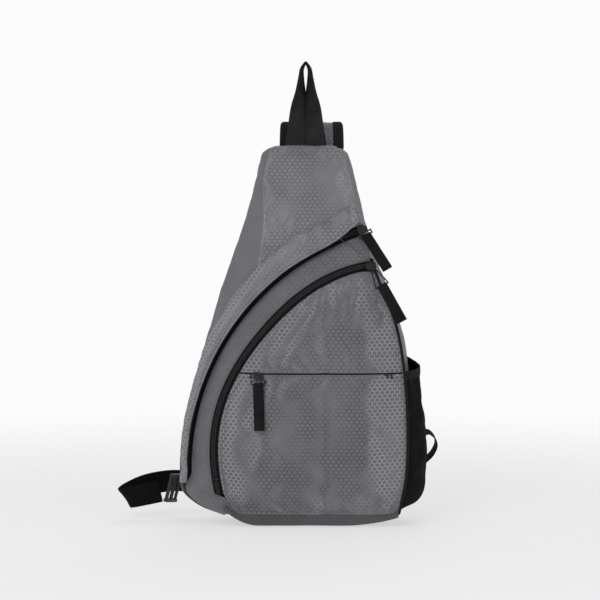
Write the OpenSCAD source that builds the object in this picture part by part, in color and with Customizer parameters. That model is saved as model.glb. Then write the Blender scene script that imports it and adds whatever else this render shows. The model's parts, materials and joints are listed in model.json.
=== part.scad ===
// Teardrop sling bag: a padded back, sewn fabric panels round a hollow main compartment, a front
// pocket with a curved zip, a storm flap over the main zip, a small zipped pocket, a mesh side
// pocket and one shoulder strap. The wearer is at +Y, the front faces -Y, +Z is up, and the origin
// is the middle of the base. Millimetres.

/* [Body] */
// Height of the bag body, without the grab loop
body_h = 430; // [424:1:436]
// Half of the widest part of the body
body_half_w = 137; // [134:1:140]
// Distance from the origin back to the wearer's side of the back panel
back_y = 50; // [50:1:54]
// Thickness of the fabric panels
panel_t = 1.8; // [1.4:0.1:2.0]
// How far the front pocket bulges ahead of its zip
pocket_bulge = 22; // [18:1:22]

/* [Main zip] */
// Centre of the main zip's arc, across and up
main_zip_c = [149, 63];
// Radius of the main zip's arc
main_zip_r = 283; // [281:1:284]
// Angle at which the closed slider parks
main_zip_a0 = 107.4; // [107:0.1:108]
// Angle at which the open slider stops
main_zip_a1 = 181; // [176:1:182]
// Depth of the plane that the main zip lies in
main_zip_y = -12; // [-12.5:0.5:-11.5]

/* [Front zip] */
// Centre of the front zip's arc, across and up
front_zip_c = [118.8, 76.5];
// Mean radius of the front zip's arc
front_zip_r = 220.4; // [219:0.2:221]
// How far the sewn zip wanders either side of its mean arc
front_zip_wave = 2; // [0:0.5:2]
// Angle at which the closed slider parks
front_zip_a0 = 101.8; // [101:0.1:103]
// Angle at which the open slider stops
front_zip_a1 = 184.3; // [180:0.1:185]
// Depth of the plane that the front zip lies in
front_zip_y = -24; // [-24.5:0.5:-23.5]

/* [Pocket zip] */
// Height of the small pocket's zip
pocket_zip_z = 170; // [168:1:172]
// Radius of the shallow arc that the zip follows round the pocket's bulge
pocket_zip_r = 420; // [410:5:430]
// Where the middle of the zip is, across
pocket_zip_x = 18; // [16:1:20]
// Half the length of the slider's travel, across
pocket_zip_half = 69; // [60:1:70]

/* [Zip pulls] */
// Width of the webbing pull tabs
tab_w = 12; // [10:0.5:12]
// Length of the webbing pull tabs
tab_len = 51; // [45:1:52]
// Angle at which the curved zips' pulls lean away from the bag
pull_tilt = 32; // [32:1:33]

/* [Straps] */
// Width of the webbing
web_w = 25; // [23:1:25]
// Thickness of the webbing
web_t = 1.6; // [1.2:0.1:1.8]
// Width of the padded shoulder strap at the top
pad_w = 76; // [70:1:78]
// Thickness of the shoulder strap's foam
pad_foam_t = 6; // [5:0.5:7]
// Height of the top of the grab loop
loop_top = 525; // [515:1:528]

/* [Hidden] */
$fn = 32;

grey = [0.43, 0.43, 0.45];
black = [0.09, 0.09, 0.10];
gunmetal = [0.30, 0.30, 0.31];
foam = [0.75, 0.75, 0.72];

front_zip_end = 190.9;  // angle at which the front zip runs into the bottom seam
tape_half = 4.7;        // half the width of the zip tape that shows
coil_half = 2.5;        // half the width of a closed zip coil
edge = 5;               // a panel's edge stops this far from a zip's centre line
turned = 2.2;           // extra room for an edge that turns back into the side
seam_in = 3;            // a front panel stops this far inside the right edge, for the seam
board_t = 6;            // back panel: mesh, foam and lining together
seam_y = back_y - board_t;
zip_edge_y = 1.8;       // a panel's face stands this far ahead of its zip's plane
slider_h = 3.6;         // height of a slider's body
slider_gap = 2.6;       // a slider's underside is this far ahead of its zip's plane
post_r = 1.4;           // post that a pull ring turns on
bar_r = 0.8;            // wire of a pull ring
run = 0.06;             // running clearance of the ring's eye and the tab's hem

// ---------- small tools ----------
function lerp(a, b, t) = a + (b - a) * t;
function unit(v) = v / norm(v);
function ease(t) = t * t * (3 - 2 * t);

// A smooth curve through the points p, at t from 0 to 1.
function spline(p, t) =
    let (n = len(p) - 1, s = min(floor(t * n), n - 1), f = t * n - s,
         a = p[max(s - 1, 0)], b = p[s], c = p[s + 1], d = p[min(s + 2, n)])
    0.5 * (2 * b + (c - a) * f + (2 * a - 5 * b + 4 * c - d) * f * f + (3 * b - 3 * c + d - a) * f * f * f);

// The value at height z of a profile of [height, value] stations, highest first.
function profile(p, z, i = 0) =
    (i >= len(p) - 2 || z >= p[i + 1][0])
    ? let (t = (z - p[i][0]) / (p[i + 1][0] - p[i][0]), n = len(p) - 1,
           m0 = i == 0 ? (p[1][1] - p[0][1]) / (p[1][0] - p[0][0])
                       : (p[i + 1][1] - p[i - 1][1]) / (p[i + 1][0] - p[i - 1][0]),
           m1 = i + 1 == n ? (p[n][1] - p[n - 1][1]) / (p[n][0] - p[n - 1][0])
                           : (p[i + 2][1] - p[i][1]) / (p[i + 2][0] - p[i][0]),
           h = p[i + 1][0] - p[i][0])
      (1 + 2 * t) * (1 - t) * (1 - t) * p[i][1] + t * (1 - t) * (1 - t) * h * m0
      + t * t * (3 - 2 * t) * p[i + 1][1] + t * t * (t - 1) * h * m1
    : profile(p, z, i + 1);

// Rows of points lofted smoothly across a list of rails that have equal numbers of points.
function loft(rails, rows) =
    [for (j = [0:rows]) [for (i = [0:len(rails[0]) - 1]) spline([for (r = rails) r[i]], j / rows)]];

function grid_normal(g, i, j) =
    let (r = len(g) - 1, c = len(g[0]) - 1)
    unit(cross(g[i][min(j + 1, c)] - g[i][max(j - 1, 0)], g[min(i + 1, r)][j] - g[max(i - 1, 0)][j]));

// A closed sheet: the grid is its outer face, and it is t thick on the other side.
module sheet(g, t) {
    rows = len(g);
    cols = len(g[0]);
    n = rows * cols;
    outer = [for (row = g) for (p = row) p];
    inner = [for (i = [0:rows - 1]) for (j = [0:cols - 1]) g[i][j] - t * grid_normal(g, i, j)];
    skin = [for (i = [0:rows - 2]) for (j = [0:cols - 2])
        let (a = i * cols + j, b = a + 1, d = a + cols, c = d + 1)
        each [[a, d, c], [a, c, b], [a + n, b + n, c + n], [a + n, c + n, d + n]]];
    ends = [for (j = [0:cols - 2])
        let (a = j, b = j + 1, d = (rows - 1) * cols + j, c = d + 1)
        each [[a, b, b + n], [a, b + n, a + n], [c, d, d + n], [c, d + n, c + n]]];
    sides = [for (i = [0:rows - 2])
        let (a = i * cols, d = a + cols, b = a + cols - 1, c = d + cols - 1)
        each [[d, a, a + n], [d, a + n, d + n], [b, c, c + n], [b, c + n, b + n]]];
    polyhedron(concat(outer, inner), concat(skin, ends, sides));
}

// A flat strip w wide along a path; each station has its own width direction.
module strip(path, across, w, t) {
    sheet([for (i = [0:len(path) - 1]) [for (k = [-0.5, 0.5]) path[i] + across[i] * w * k]], t);
}

// A round cord of radius r along a path.
module cord(path, r, sides = 8) {
    n = len(path);
    function along(i) = unit(path[min(i + 1, n - 1)] - path[max(i - 1, 0)]);
    rings = [for (i = [0:n - 1])
        let (u = unit(cross(along(i), [0, 1, 0.02])), v = cross(along(i), u))
        for (k = [0:sides - 1]) path[i] + r * (cos(360 * k / sides) * u + sin(360 * k / sides) * v)];
    walls = [for (i = [0:n - 2]) for (k = [0:sides - 1])
        let (a = i * sides + k, b = i * sides + (k + 1) % sides)
        each [[a, b, b + sides], [a, b + sides, a + sides]]];
    caps = [[for (k = [sides - 1:-1:0]) k], [for (k = [0:sides - 1]) (n - 1) * sides + k]];
    polyhedron(rings, concat(walls, caps));
}

// ---------- the body's lines ----------
// Half-width of the silhouette at height z.
function half_w(z) = profile([[body_h, 36], [420, 49], [345, 68], [251, 99], [157, body_half_w - 11],
                              [75, body_half_w], [30, body_half_w - 12], [10, 104]], z);
// Depth of the widest line of the side at height z.
function side_y(z) = profile([[body_h, 30], [400, 26], [285, 18], [100, 8], [10, 10]], z);
// The front edge on the right, where the front meets the side.
function right_x(z) = profile([[body_h, 34], [420, 43], [338, 63.5], [288, 76.5], [222, 101], [150, 111],
                               [65, 112], [10, 103]], z);
function right_y(z) = profile([[body_h, 26], [420, 12], [345, -9], [325, -13], [298, -23], [288, -25.5],
                               [222, -29], [150, -33], [65, -33], [10, -24]], z);
function right_edge(z, off = 0) = [right_x(z) + off, right_y(z), z];

function on_main(a, dr = 0, y = main_zip_y) =
    [main_zip_c[0] + (main_zip_r + dr) * cos(a), y, main_zip_c[1] + (main_zip_r + dr) * sin(a)];
function front_r(a) = front_zip_r + front_zip_wave * cos(6.1 * (a - 111));
function on_front(a, dr = 0, y = front_zip_y) =
    [front_zip_c[0] + (front_r(a) + dr) * cos(a), y, front_zip_c[1] + (front_r(a) + dr) * sin(a)];

crease_a = 136;         // the left crease meets the main zip at this angle
corner_low = [-92, 2, 8];    // the bottom left corner of the body
seam_low = [-77, front_zip_y - zip_edge_y, 15];   // left end of the seam under the front pocket

// The left gusset's front edge, from the top down: a crease, then the main zip, then the corner.
function left_edge(s) =
    s < 0.4 ? spline([[-38, 23, 428], [-47.5, 4, 392], [-47, -8, 345], [-53, -11, 300],
                      on_main(crease_a, edge + turned, main_zip_y - zip_edge_y)], s / 0.4)
    : s < 0.9
    ? on_main(lerp(crease_a, main_zip_a1, (s - 0.4) / 0.5), edge + turned, main_zip_y - zip_edge_y)
    : spline([on_main(main_zip_a1, edge + turned, main_zip_y - zip_edge_y),
              [-139.5, main_zip_y, 38], [-120, -6, 20], corner_low], (s - 0.9) / 0.1);

// Depth of the front pocket's face at a height, and at u from its left edge to its right.
function pocket_h(z) = pocket_bulge * profile([[288, 0.03], [262, 0.3], [225, 0.72], [178, 1], [90, 1],
                                               [45, 0.85], [14, 0.1]], z);
function front_a(z, r) = 180 - asin((z - front_zip_c[1]) / r);
// Where the pocket's edge beside the front zip is, across, at height z.
function beside_zip_x(z) =
    let (r = front_r(front_a(z, front_zip_r)) - edge) front_zip_c[0] + r * cos(front_a(z, r));
function pocket_left_x(z) =
    z > 36 ? beside_zip_x(z) : lerp(beside_zip_x(36), seam_low[0], (36 - z) / (36 - 14));
function pocket_face(z, u) =
    let (h = pow(1 - pow(abs(2 * u - 1), 6), 2) * pocket_h(z))
    [lerp(pocket_left_x(z), right_x(z) - seam_in, u),
     lerp(front_zip_y - zip_edge_y, right_y(z), u) - h * lerp(1, 0.8, u), z];

// The right side's face at height z, v from the back seam to the front edge. The mesh pocket stands on it.
function side_w(z) = half_w(z) - 5 * (z < 170 ? 1 : z > 215 ? 0 : ease((215 - z) / 45));
function side_face(z, v) =
    spline([[half_w(z) - 9, seam_y - 1, z], [side_w(z), side_y(z), z], right_edge(z, -0.6)], v);

// ---------- body panels ----------
// The back's outline, inset all round, with its lower left corner drawn in.
module outline(inset = 0) {
    n = 24;
    heights = [for (i = [0:n]) lerp(body_h - 6, 9, i / n)];
    function half(z) = half_w(z) - 9 - inset;
    function up(z) = z + (z > 400 ? -inset : z < 20 ? inset : 0);
    polygon(concat([for (z = heights) [half(z), up(z)]],
                   [for (i = [n:-1:0]) [-half(heights[i]) * (heights[i] < 40 ? 0.93 : 1), up(heights[i])]]));
}

module back_layer(y0, t, inset = 0)
    translate([0, y0 + t, 0]) rotate([90, 0, 0]) linear_extrude(t) outline(inset);

module back_mesh_panel() color(black) back_layer(back_y - 1.5, 1.5);
module back_foam_pad() color(foam) back_layer(back_y - 5, 3.4, 3);
module back_lining() color(black) back_layer(seam_y, 0.9, 1);

function tuck(z) = z < 60 ? lerp(0.88, 1, (z - 8) / 52) : 1;    // the left corner is drawn in
module left_gusset() color(grey) {
    n = 26;
    front = [for (i = [0:n]) left_edge(i / n)];
    side = [for (p = front) [-half_w(p[2]) * tuck(p[2]), side_y(p[2]), p[2]]];
    seam = [for (p = front) [-(half_w(p[2]) - 9) * tuck(p[2]), seam_y - 1, p[2]]];
    sheet(loft([seam, side, front], 6), panel_t);
}

module right_gusset() color(grey) {
    heights = [for (i = [0:26]) lerp(427, 14, i / 26)];
    sheet([for (v = [6:-1:0]) [for (z = heights) side_face(z, v / 6)]], panel_t);
}

// How far the base has curved up at x.
function base_rise(x) = x > 45 ? 9 * pow((x - 45) / 60, 2) : x < -52 ? 9 * pow((-52 - x) / 28, 2) : 0;

// A front lip under the front pocket, the flat base, and the rise to the back seam.
module bottom_panel() color(grey) {
    section = [[front_zip_y - 2.5, 12.5], [front_zip_y - 3.5, 7], [front_zip_y, 1.6], [front_zip_y + 9, 0],
               [back_y - 20, 0], [back_y - 12, 1], [seam_y - 1, 5.5]];
    columns = [99, 90, 78, 64, 45, 12, -20, -52, -64, -74, -80];
    sheet([for (p = section) [for (x = columns)
        [x, p[0], p[1] + base_rise(x) * (p[1] > 12 ? 0.25 : 1)]]], panel_t);
}

// From the top seam down to the main zip, between the left crease and the right edge.
module upper_front_panel() {
    n = 14;
    rows = 12;
    inset = [seam_in, 0, 0];
    zip_right_a = 108.2;
    function zip_side(t) = on_main(lerp(crease_a - 1.2, zip_right_a, t), edge, main_zip_y - zip_edge_y);
    function straight(f, t) =
        let (l = left_edge(0.4 * f) + inset, r = right_edge(lerp(427, zip_side(1)[2], f)) - inset)
        lerp(l, r, t) - [0, 6 * sin(180 * t) * sin(90 * f + 80 * f * f), 0];
    function cap(y, z, w) = [for (i = [n:-1:0]) [lerp(-w, w, i / n), y, z]];
    body = [for (k = [0:rows]) let (f = k / rows)
        [for (i = [n:-1:0]) let (t = i / n) straight(f, t) + (zip_side(t) - straight(1, t)) * f * f]];
    color(grey) sheet(concat([cap(seam_y - 1, body_h - 3, 24), cap(32, body_h, 31)], body), panel_t);
}

module storm_flap() {
    n = 26;
    angles = [for (i = [0:n]) lerp(105.6, 169, i / n)];
    // The free edge lifts clear of the parked slider at its right end.
    function lift(a) = 1.5 + 8.5 * exp(-pow((a - 105.6) / 6, 2));
    function width(a) = lerp(27, 15, (a - 105.6) / 64) * (a > 160 ? lerp(1, 0.55, (a - 160) / 9) : 1);
    free = [for (a = angles) on_main(a, lift(a), main_zip_y - 13)];
    middle = [for (a = angles) on_main(a, lift(a) + width(a) * 0.5, main_zip_y - 13)];
    sewn = [for (a = angles) on_main(a, lift(a) + width(a), main_zip_y - 8)];
    color(grey) sheet(loft([sewn, middle, free], 5), 2);
}

module mid_panel() color(grey) {
    n = 24;
    main_y = main_zip_y - zip_edge_y;
    front_y = front_zip_y - zip_edge_y;
    outer = concat([for (i = [0:n]) on_main(lerp(108.8, main_zip_a1, i / n), -edge, main_y)],
                   [[-129, main_zip_y - 3, 40], [-114, main_zip_y - 4, 24], [-95, main_zip_y - 4, 13]]);
    inner = concat([for (i = [0:n]) on_front(lerp(102.8, front_zip_end, i / n), edge, front_y)],
                   [[-99, front_zip_y - 2, 28], [-92, front_zip_y - 2, 21], [-83, front_zip_y - 2, 15]]);
    middle = [for (i = [0:len(outer) - 1]) (outer[i] + inner[i]) / 2 - [0, 1, 0]];
    sheet(loft([outer, middle, inner], 4), panel_t);
}

module pocket_panel(z0, z1, rows, cols = 18) {
    sheet([for (i = [0:rows]) [for (j = [0:cols])
        pocket_face(lerp(z0, z1, i / rows), 1 - j / cols)]], panel_t);
}

module front_upper_panel() color(grey) pocket_panel(287, pocket_zip_z + edge + 0.6, 9);
module front_lower_panel() color(grey) pocket_panel(pocket_zip_z - edge - 0.6, 15.5, 10);

// Wall between the main compartment and the front pocket.
module divider_panel() color(black) {
    arc = [for (i = [0:12]) let (p = on_main(lerp(112, 176, i / 12), -14)) [p[0], p[2]]];
    side = [for (i = [0:6]) let (z = lerp(18, 300, i / 6)) [right_x(z) - 9, z]];
    translate([0, main_zip_y + 4, 0]) rotate([90, 0, 0]) linear_extrude(0.9)
        polygon(concat(arc, [[-70, 18]], side));
}

// The small pocket's pouch, hanging behind the lower front panel.
module slip_pocket_liner() color(black)
    translate([-58, front_zip_y - 12, 70]) cube([146, 1.2, pocket_zip_z - 78]);

// ---------- zips ----------
module arc_band(c, r0, r1, a0, a1) {
    reach = r1 * 1.5;
    translate(c) intersection() {
        difference() { circle(r1, $fn = 180); circle(r0, $fn = 180); }
        polygon([[0, 0], reach * [cos(a0), sin(a0)], reach * [cos((a0 + a1) / 2), sin((a0 + a1) / 2)],
                 reach * [cos(a1), sin(a1)]]);
    }
}

module main_band(inner, outer, y, t) translate([0, y + t, 0]) rotate([90, 0, 0]) linear_extrude(t)
    arc_band(main_zip_c, main_zip_r + inner, main_zip_r + outer, main_zip_a0 + 0.6, main_zip_a1 + 0.4);

module front_band(inner, outer, y, t) {
    angles = [for (i = [0:44]) lerp(front_zip_a0 + 0.9, front_zip_end, i / 44)];
    function flat(p) = [p[0], p[2]];
    translate([0, y + t, 0]) rotate([90, 0, 0]) linear_extrude(t)
        polygon(concat([for (a = angles) flat(on_front(a, outer))],
                       [for (i = [44:-1:0]) flat(on_front(angles[i], inner))]));
}

module main_zip_tape() color(black) {
    main_band(0.2, tape_half, main_zip_y + 0.5, 0.7);
    main_band(-tape_half, -0.2, main_zip_y + 0.5, 0.7);
}
module main_zip_coil() color(black) {
    main_band(0.05, coil_half, main_zip_y - 1.7, 2);
    main_band(-coil_half, -0.05, main_zip_y - 1.7, 2);
}
module front_zip_tape() color(black) {
    front_band(0.2, tape_half, front_zip_y + 0.5, 0.7);
    front_band(-tape_half, -0.2, front_zip_y + 0.5, 0.7);
}
module front_zip_coil() color(black) {
    front_band(0.05, coil_half, front_zip_y - 1.7, 2);
    front_band(-coil_half, -0.05, front_zip_y - 1.7, 2);
}

pocket_y = front_zip_y - pocket_bulge - 0.5;   // foremost depth of the small pocket's zip
pocket_c = [pocket_zip_x, pocket_y + pocket_zip_r];
pocket_a = asin(pocket_zip_half / pocket_zip_r);
module pocket_band(back, front, z0, z1) translate([0, 0, pocket_zip_z + z0]) linear_extrude(z1 - z0)
    arc_band(pocket_c, pocket_zip_r - back, pocket_zip_r + front, 270 - pocket_a - 1, 270 + pocket_a + 1);

module pocket_zip_tape() color(black) {
    pocket_band(1.2, -0.5, -tape_half, -0.2);
    pocket_band(1.2, -0.5, 0.2, tape_half);
}
module pocket_zip_coil() color(black) {
    pocket_band(0.3, 1.7, -coil_half, -0.05);
    pocket_band(0.3, 1.7, 0.05, coil_half);
}

// Metal stops clamped on both ends of each zip.
module zip_end_stops() {
    stop = [1.6, 1.6, 6];
    module at(p, a) color(gunmetal) translate(p) rotate([0, -a, 0]) translate(-stop / 2) cube(stop);
    at(on_main(main_zip_a1 + 1.5, 0, main_zip_y - 0.8), main_zip_a1 + 90);
    at(on_front(front_zip_a1 + 1.7, 0, front_zip_y - 2.7), front_zip_a1 + 90);
    for (side = [-1, 1])
        translate([pocket_c[0], pocket_c[1], pocket_zip_z])
            rotate([0, 0, side * (pocket_a + 1.3)]) at([0, -pocket_zip_r, 0], 0);
}

// A slider at the origin: its face looks along -Y, and it travels along X.
module slider() color(gunmetal) {
    rotate([90, 0, 0]) {
        linear_extrude(slider_h) {
            translate([-5.5, -3.2]) square([11, 6.4]);
            translate([-4.3, -4.3]) square([6, 8.6]);
            for (s = [-1, 1]) translate([1.7, s * 3.2]) circle(1.1);
        }
        translate([0, 0, slider_h - 0.5]) cylinder(r = post_r, h = 2.9);
        translate([0, 0, slider_h + 2.2]) cylinder(r = 2.3, h = 0.7);
    }
}

eye_y = -slider_h - 0.3;      // front of the slider's body to the ring's eye
eye_t = 1.4;

ring_half = tab_w / 2 + 1.6;  // the ring's wires clear the tab's edges
hip_z = -4.4;                 // the ring's wires leave its eye this far down, where it starts to lean out

module wire(a, b) {
    d = b - a;
    translate(a) rotate([0, acos(d[2] / norm(d)), atan2(d[1], d[0])]) cylinder(r = bar_r, h = norm(d));
}
module lean(tilt) translate([0, eye_y - eye_t / 2, hip_z]) rotate([-tilt, 0, 0]) children();

// A pull ring: an eye round the slider's post, a hip of half-width hip, two wires and a bar,
// leaning out by tilt.
module pull_ring(reach, hip, tilt) color(gunmetal) {
    translate([0, eye_y, 0]) rotate([90, 0, 0]) difference() {
        union() {
            cylinder(r = 3.1, h = eye_t);
            translate([-2.4, hip_z, 0]) cube([4.8, -hip_z, eye_t]);
        }
        translate([0, 0, -1]) cylinder(r = post_r + run, h = 4);
    }
    lean(tilt) {
        translate([-hip - bar_r, -0.7, -0.6]) cube([2 * (hip + bar_r), eye_t, 1.2]);
        for (s = [-1, 1]) wire([s * hip, 0, 0], [s * ring_half, 0, -reach]);
        translate([-ring_half, 0, -reach]) rotate([0, 90, 0]) cylinder(r = bar_r, h = 2 * ring_half);
    }
}

// A pull tab: webbing folded round the ring's bar and sewn flat.
module pull_tab(reach, tilt) color(black) lean(tilt) translate([0, 0, -reach]) difference() {
    union() {
        translate([-tab_w / 2, 0, 0]) rotate([0, 90, 0]) cylinder(r = 2, h = tab_w);
        translate([-tab_w / 2, -1.3, -tab_len]) cube([tab_w, 2.6, tab_len]);
    }
    translate([-tab_w, 0, 0]) rotate([0, 90, 0]) cylinder(r = bar_r + run, h = 2 * tab_w);
}

// Where each slider parks: its place, its travel direction and its pull's direction, as angles about Y.
short_reach = 4.5;      // from the hip to the bar, on the short rings
long_reach = 24;        // and on the front zip's long ring
main_pull_a = 31;       // the pull hangs this far round from straight down, towards the right
front_pull_a = 28;
pocket_pull_a = 3;
pocket_tilt = 7;        // the pocket's pull leans out by this much

module at_main(turn)
    translate(on_main(main_zip_a0, 0, main_zip_y - slider_gap)) rotate([0, turn, 0]) children();
module at_front(turn)
    translate([front_zip_c[0] + front_zip_r * cos(front_zip_a0), front_zip_y - slider_gap,
               front_zip_c[1] + front_zip_r * sin(front_zip_a0)]) rotate([0, turn, 0]) children();
module at_pocket(turn) translate([pocket_c[0], pocket_c[1], pocket_zip_z]) rotate([0, 0, -pocket_a])
    translate([0, -pocket_zip_r - slider_gap, 0]) rotate([0, turn, 0]) children();

module main_zip_slider() at_main(90 - main_zip_a0) slider();
module main_pull_ring() at_main(-main_pull_a) pull_ring(short_reach, ring_half, pull_tilt);
module main_pull_tab() at_main(-main_pull_a) pull_tab(short_reach, pull_tilt);
module front_zip_slider() at_front(90 - front_zip_a0) slider();
module front_pull_ring() at_front(-front_pull_a) pull_ring(long_reach, 2.4, pull_tilt);
module front_pull_tab() at_front(-front_pull_a) pull_tab(long_reach, pull_tilt);
module pocket_zip_slider() at_pocket(180) slider();
module pocket_pull_ring() at_pocket(-pocket_pull_a) pull_ring(short_reach, ring_half, pocket_tilt);
module pocket_pull_tab() at_pocket(-pocket_pull_a) pull_tab(short_reach, pocket_tilt);

// ---------- trims and the side pocket ----------
module edge_piping() color(black)
    cord([for (i = [0:28]) let (z = lerp(282, 14, i / 28)) right_edge(z, 1.9) + [0, -1.2, 0]], 1.6);

// The mesh pocket's face on the right side: v from the front edge to the back seam, s down from its mouth.
pocket_low = 20;
function mouth_z(v) = 173 + 17 * pow(v, 2.2);
function mesh_face(v, s, out = 0) =
    let (z = lerp(mouth_z(v), pocket_low, s), p = side_face(z, 1 - lerp(0.06, 0.97, v)),
         stand = 3.2 + 9 * sin(180 * v) * exp(-4 * s) + 1.5 * sin(180 * v) + out)
    p + stand * [1, 0.35 * (2 * v - 1), 0];

module side_mesh_pocket() color(black)
    sheet([for (i = [0:8]) [for (j = [0:12]) mesh_face(i / 8, j / 12)]], 0.8);
module side_pocket_binding() color(black)
    sheet([for (i = [0:8]) [for (s = [-0.012, 0.022, 0.05]) mesh_face(i / 8, s, 1.9)]], 1.2);

// ---------- loops and anchors ----------
hinge_z = body_h - 7;     // the strap and the grab loop are sewn in at this height

module strap_anchor_patch() color(black)
    translate([-34, back_y + 0.4, hinge_z - 34]) cube([78, 2, 30]);

// One leg of the grab loop runs from its sewn end to the top, turning edge-on as it rises.
module grab_loop() color(black) {
    centre = [[-12, 0, body_h + 1.6], [-10.4, 0, 446], [-9.2, 0, 472], [-6.9, 0, 491], [-5.3, 0, 506],
              [-4.2, 0, loop_top - 8], [0, 0, loop_top]];
    turn = [0, 24, 42, 60, 72, 81, 90];
    n = 18;
    leg = [for (i = [0:n]) spline(centre, i / n)];
    twist = [for (i = [0:n]) spline(turn, i / n)];
    path = concat(leg, [for (i = [n - 1:-1:0]) [-leg[i][0], 0, leg[i][2]]]);
    across = concat([for (a = twist) [cos(a), sin(a), 0]],
                    [for (i = [n - 1:-1:0]) [-cos(twist[i]), sin(twist[i]), 0]]);
    translate([1, back_y - 14, 0]) strip(path, across, web_w * 0.94, web_t);
}

// A webbing loop sewn into the right back seam.
module side_loop() color(black) {
    path = [[135, 0, 95], [143, 0, 99], [150.5, 0, 93], [152.5, 0, 84], [148, 0, 74], [141, 0, 67],
            [134.5, 0, 61]];
    n = 16;
    translate([0, back_y - 2, 0])
        strip([for (i = [0:n]) spline(path, i / n)], [for (i = [0:n]) unit([-0.1, 1, 0.3])], 17, web_t);
}

// ---------- shoulder strap ----------
strap_y = back_y + 5.6;
flex_s = 0.36;     // the strap swings from here, on the far side of its arch
// Centre line from the sewn top, over a small arch and down the back.
strap_line = [[8, strap_y, hinge_z], [8, strap_y + 1, 441], [8, strap_y + 11, 455],
              [8, strap_y + 24, 446], [9, strap_y + 27, 412], [10, strap_y + 22, 362],
              [9, strap_y + 17, 304], [2, strap_y + 14, 246], [-10, strap_y + 12, 190],
              [-28, strap_y + 11, 138]];
function strap_at(s) = spline(strap_line, s);
function strap_dir(s) = unit(strap_at(min(s + 0.01, 1)) - strap_at(max(s - 0.01, 0)));
function strap_across(s) = unit(cross(strap_dir(s), unit(cross([1, 0, 0], strap_dir(s)))));
function strap_out(s) = unit(cross(strap_across(s), strap_dir(s)));
function strap_half(s) =
    pad_w / 2 * (s > 0.86 ? lerp(1, 0.62, ease((s - 0.86) / 0.14)) : 1) * lerp(1, 0.86, s);

// One layer of the strap: from s0 to s1, off from the centre line, t thick, inset from the edges.
module strap_layer(s0, s1, off, t, inset) {
    n = 22;
    sheet([for (i = [0:n])
        let (s = lerp(s0, s1, i / n), w = strap_half(s) - inset)
        [for (k = [-1, -0.5, 0, 0.5, 1]) strap_at(s) + strap_across(s) * w * k + strap_out(s) * off]], t);
}
// The bound edges: a folded tape round all the layers on both sides.
module strap_binding(s0, s1) {
    n = 22;
    tape = 5.6;
    for (side = [-1, 1])
        sheet([for (i = [0:n])
            let (s = lerp(s0, s1, i / n), w = strap_half(s))
            [for (x = side > 0 ? [w - tape, w] : [-w, -w + tape])
                strap_at(s) + strap_across(s) * x + strap_out(s) * (pad_foam_t / 2 + 1.6)]],
            pad_foam_t + 4.4);
}
half_foam = pad_foam_t / 2;
s_top = 0.004;
s_mid0 = flex_s - 0.003;
s_mid1 = flex_s + 0.003;
s_end = 0.995;
module strap_root_face() color(grey) strap_layer(s_top, s_mid0, half_foam + 1.2, 1, 6);
module strap_root_foam() color(foam) strap_layer(s_top, s_mid0, half_foam, pad_foam_t, 6);
module strap_root_backing() color(black) strap_layer(s_top, s_mid0, -half_foam - 1.7, 0.9, 6);
module strap_root_binding() color(black) strap_binding(s_top, s_mid0);
module strap_pad_face() color(grey) strap_layer(s_mid1, s_end, half_foam + 1.2, 1, 6);
module strap_pad_foam() color(foam) strap_layer(s_mid1, s_end, half_foam, pad_foam_t, 6);
module strap_pad_backing() color(black) strap_layer(s_mid1, s_end, -half_foam - 1.7, 0.9, 6);
module strap_pad_binding() color(black) strap_binding(s_mid1, s_end);

// ---------- lower webbing, ladder lock and corner anchor ----------
lock_p = [-151, 22, 37];      // middle of the ladder lock
lock_lean = 14;               // the lock leans with the webbing
lock_turn = 62;               // and faces this far round towards the side

// Webbing from the strap's lower end to the corner behind the bag.
module strap_webbing() color(black) {
    e = strap_at(1);
    path = [e + [-1, 0, -4], [-46, back_y + 13, 108], [-66, back_y + 11, 76], [-88, back_y + 8, 54],
            [-106, back_y + 7, 46]];
    across = [strap_across(1), unit([0.84, 0, -0.42]), unit([0.66, 0, -0.72]), unit([0.42, 0, -0.9]),
              unit([0.15, 0, -1])];
    n = 14;
    strip([for (i = [0:n]) spline(path, i / n)], [for (i = [0:n]) unit(spline(across, i / n))], web_w, web_t);
}

// The webbing past the corner: out to the left, folded back and through the lock.
module webbing_loop() color(black) {
    path = [[-116, back_y + 7, 43], [-136, back_y + 5, 41], [-160, back_y + 2, 41],
            [-184, back_y - 3, 37], [-203, back_y - 9, 29], [-208, back_y - 16, 25],
            [-203, back_y - 22, 25], [-184, back_y - 25, 29], [-166, back_y - 26.5, 33]];
    across = [[0, 0, -1], [0, 0, -1], [0.05, 0, -1], [0.2, 0, -1], [0.55, 0, -0.85], [0.62, 0, -0.8],
              [0.55, 0, -0.85], [0.3, 0, -0.96], [0.24, 0, -0.97]];
    n = 30;
    strip([for (i = [0:n]) spline(path, i / n)], [for (i = [0:n]) unit(spline(across, i / n))], web_w, web_t);
}

module at_lock() translate(lock_p) rotate([0, lock_lean, 0]) rotate([0, 0, lock_turn]) children();

// A plastic ladder lock for the webbing: two side rails joined by round bars, its width along Z.
module ladder_lock() color(black) at_lock() {
    for (s = [-1, 1]) translate([-11, -2.5, s * 14.6 - 1.7]) cube([22, 5, 3.4]);
    for (x = [-9.6, 0, 9.6]) translate([x, 0, 0]) cylinder(r = x == 9.6 ? 1.8 : 2.1, h = 30, center = true);
}

// The short web sewn in the corner seam, folded round the lock's end bar.
module corner_anchor_web() color(black) {
    path = [[-143.4, 33, 38], [-141.6, 37, 44], [-137.6, 42, 51], [-132.5, 46.5, 58]];
    across = [unit([0.24, 0, 0.97]), unit([0.2, 0.1, 0.97]), unit([0.1, 0.2, 0.97]),
              unit([0, 0.3, 0.95])];
    n = 8;
    strip([for (i = [0:n]) spline(path, i / n)], [for (i = [0:n]) unit(spline(across, i / n))], 17, web_t);
}

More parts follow.
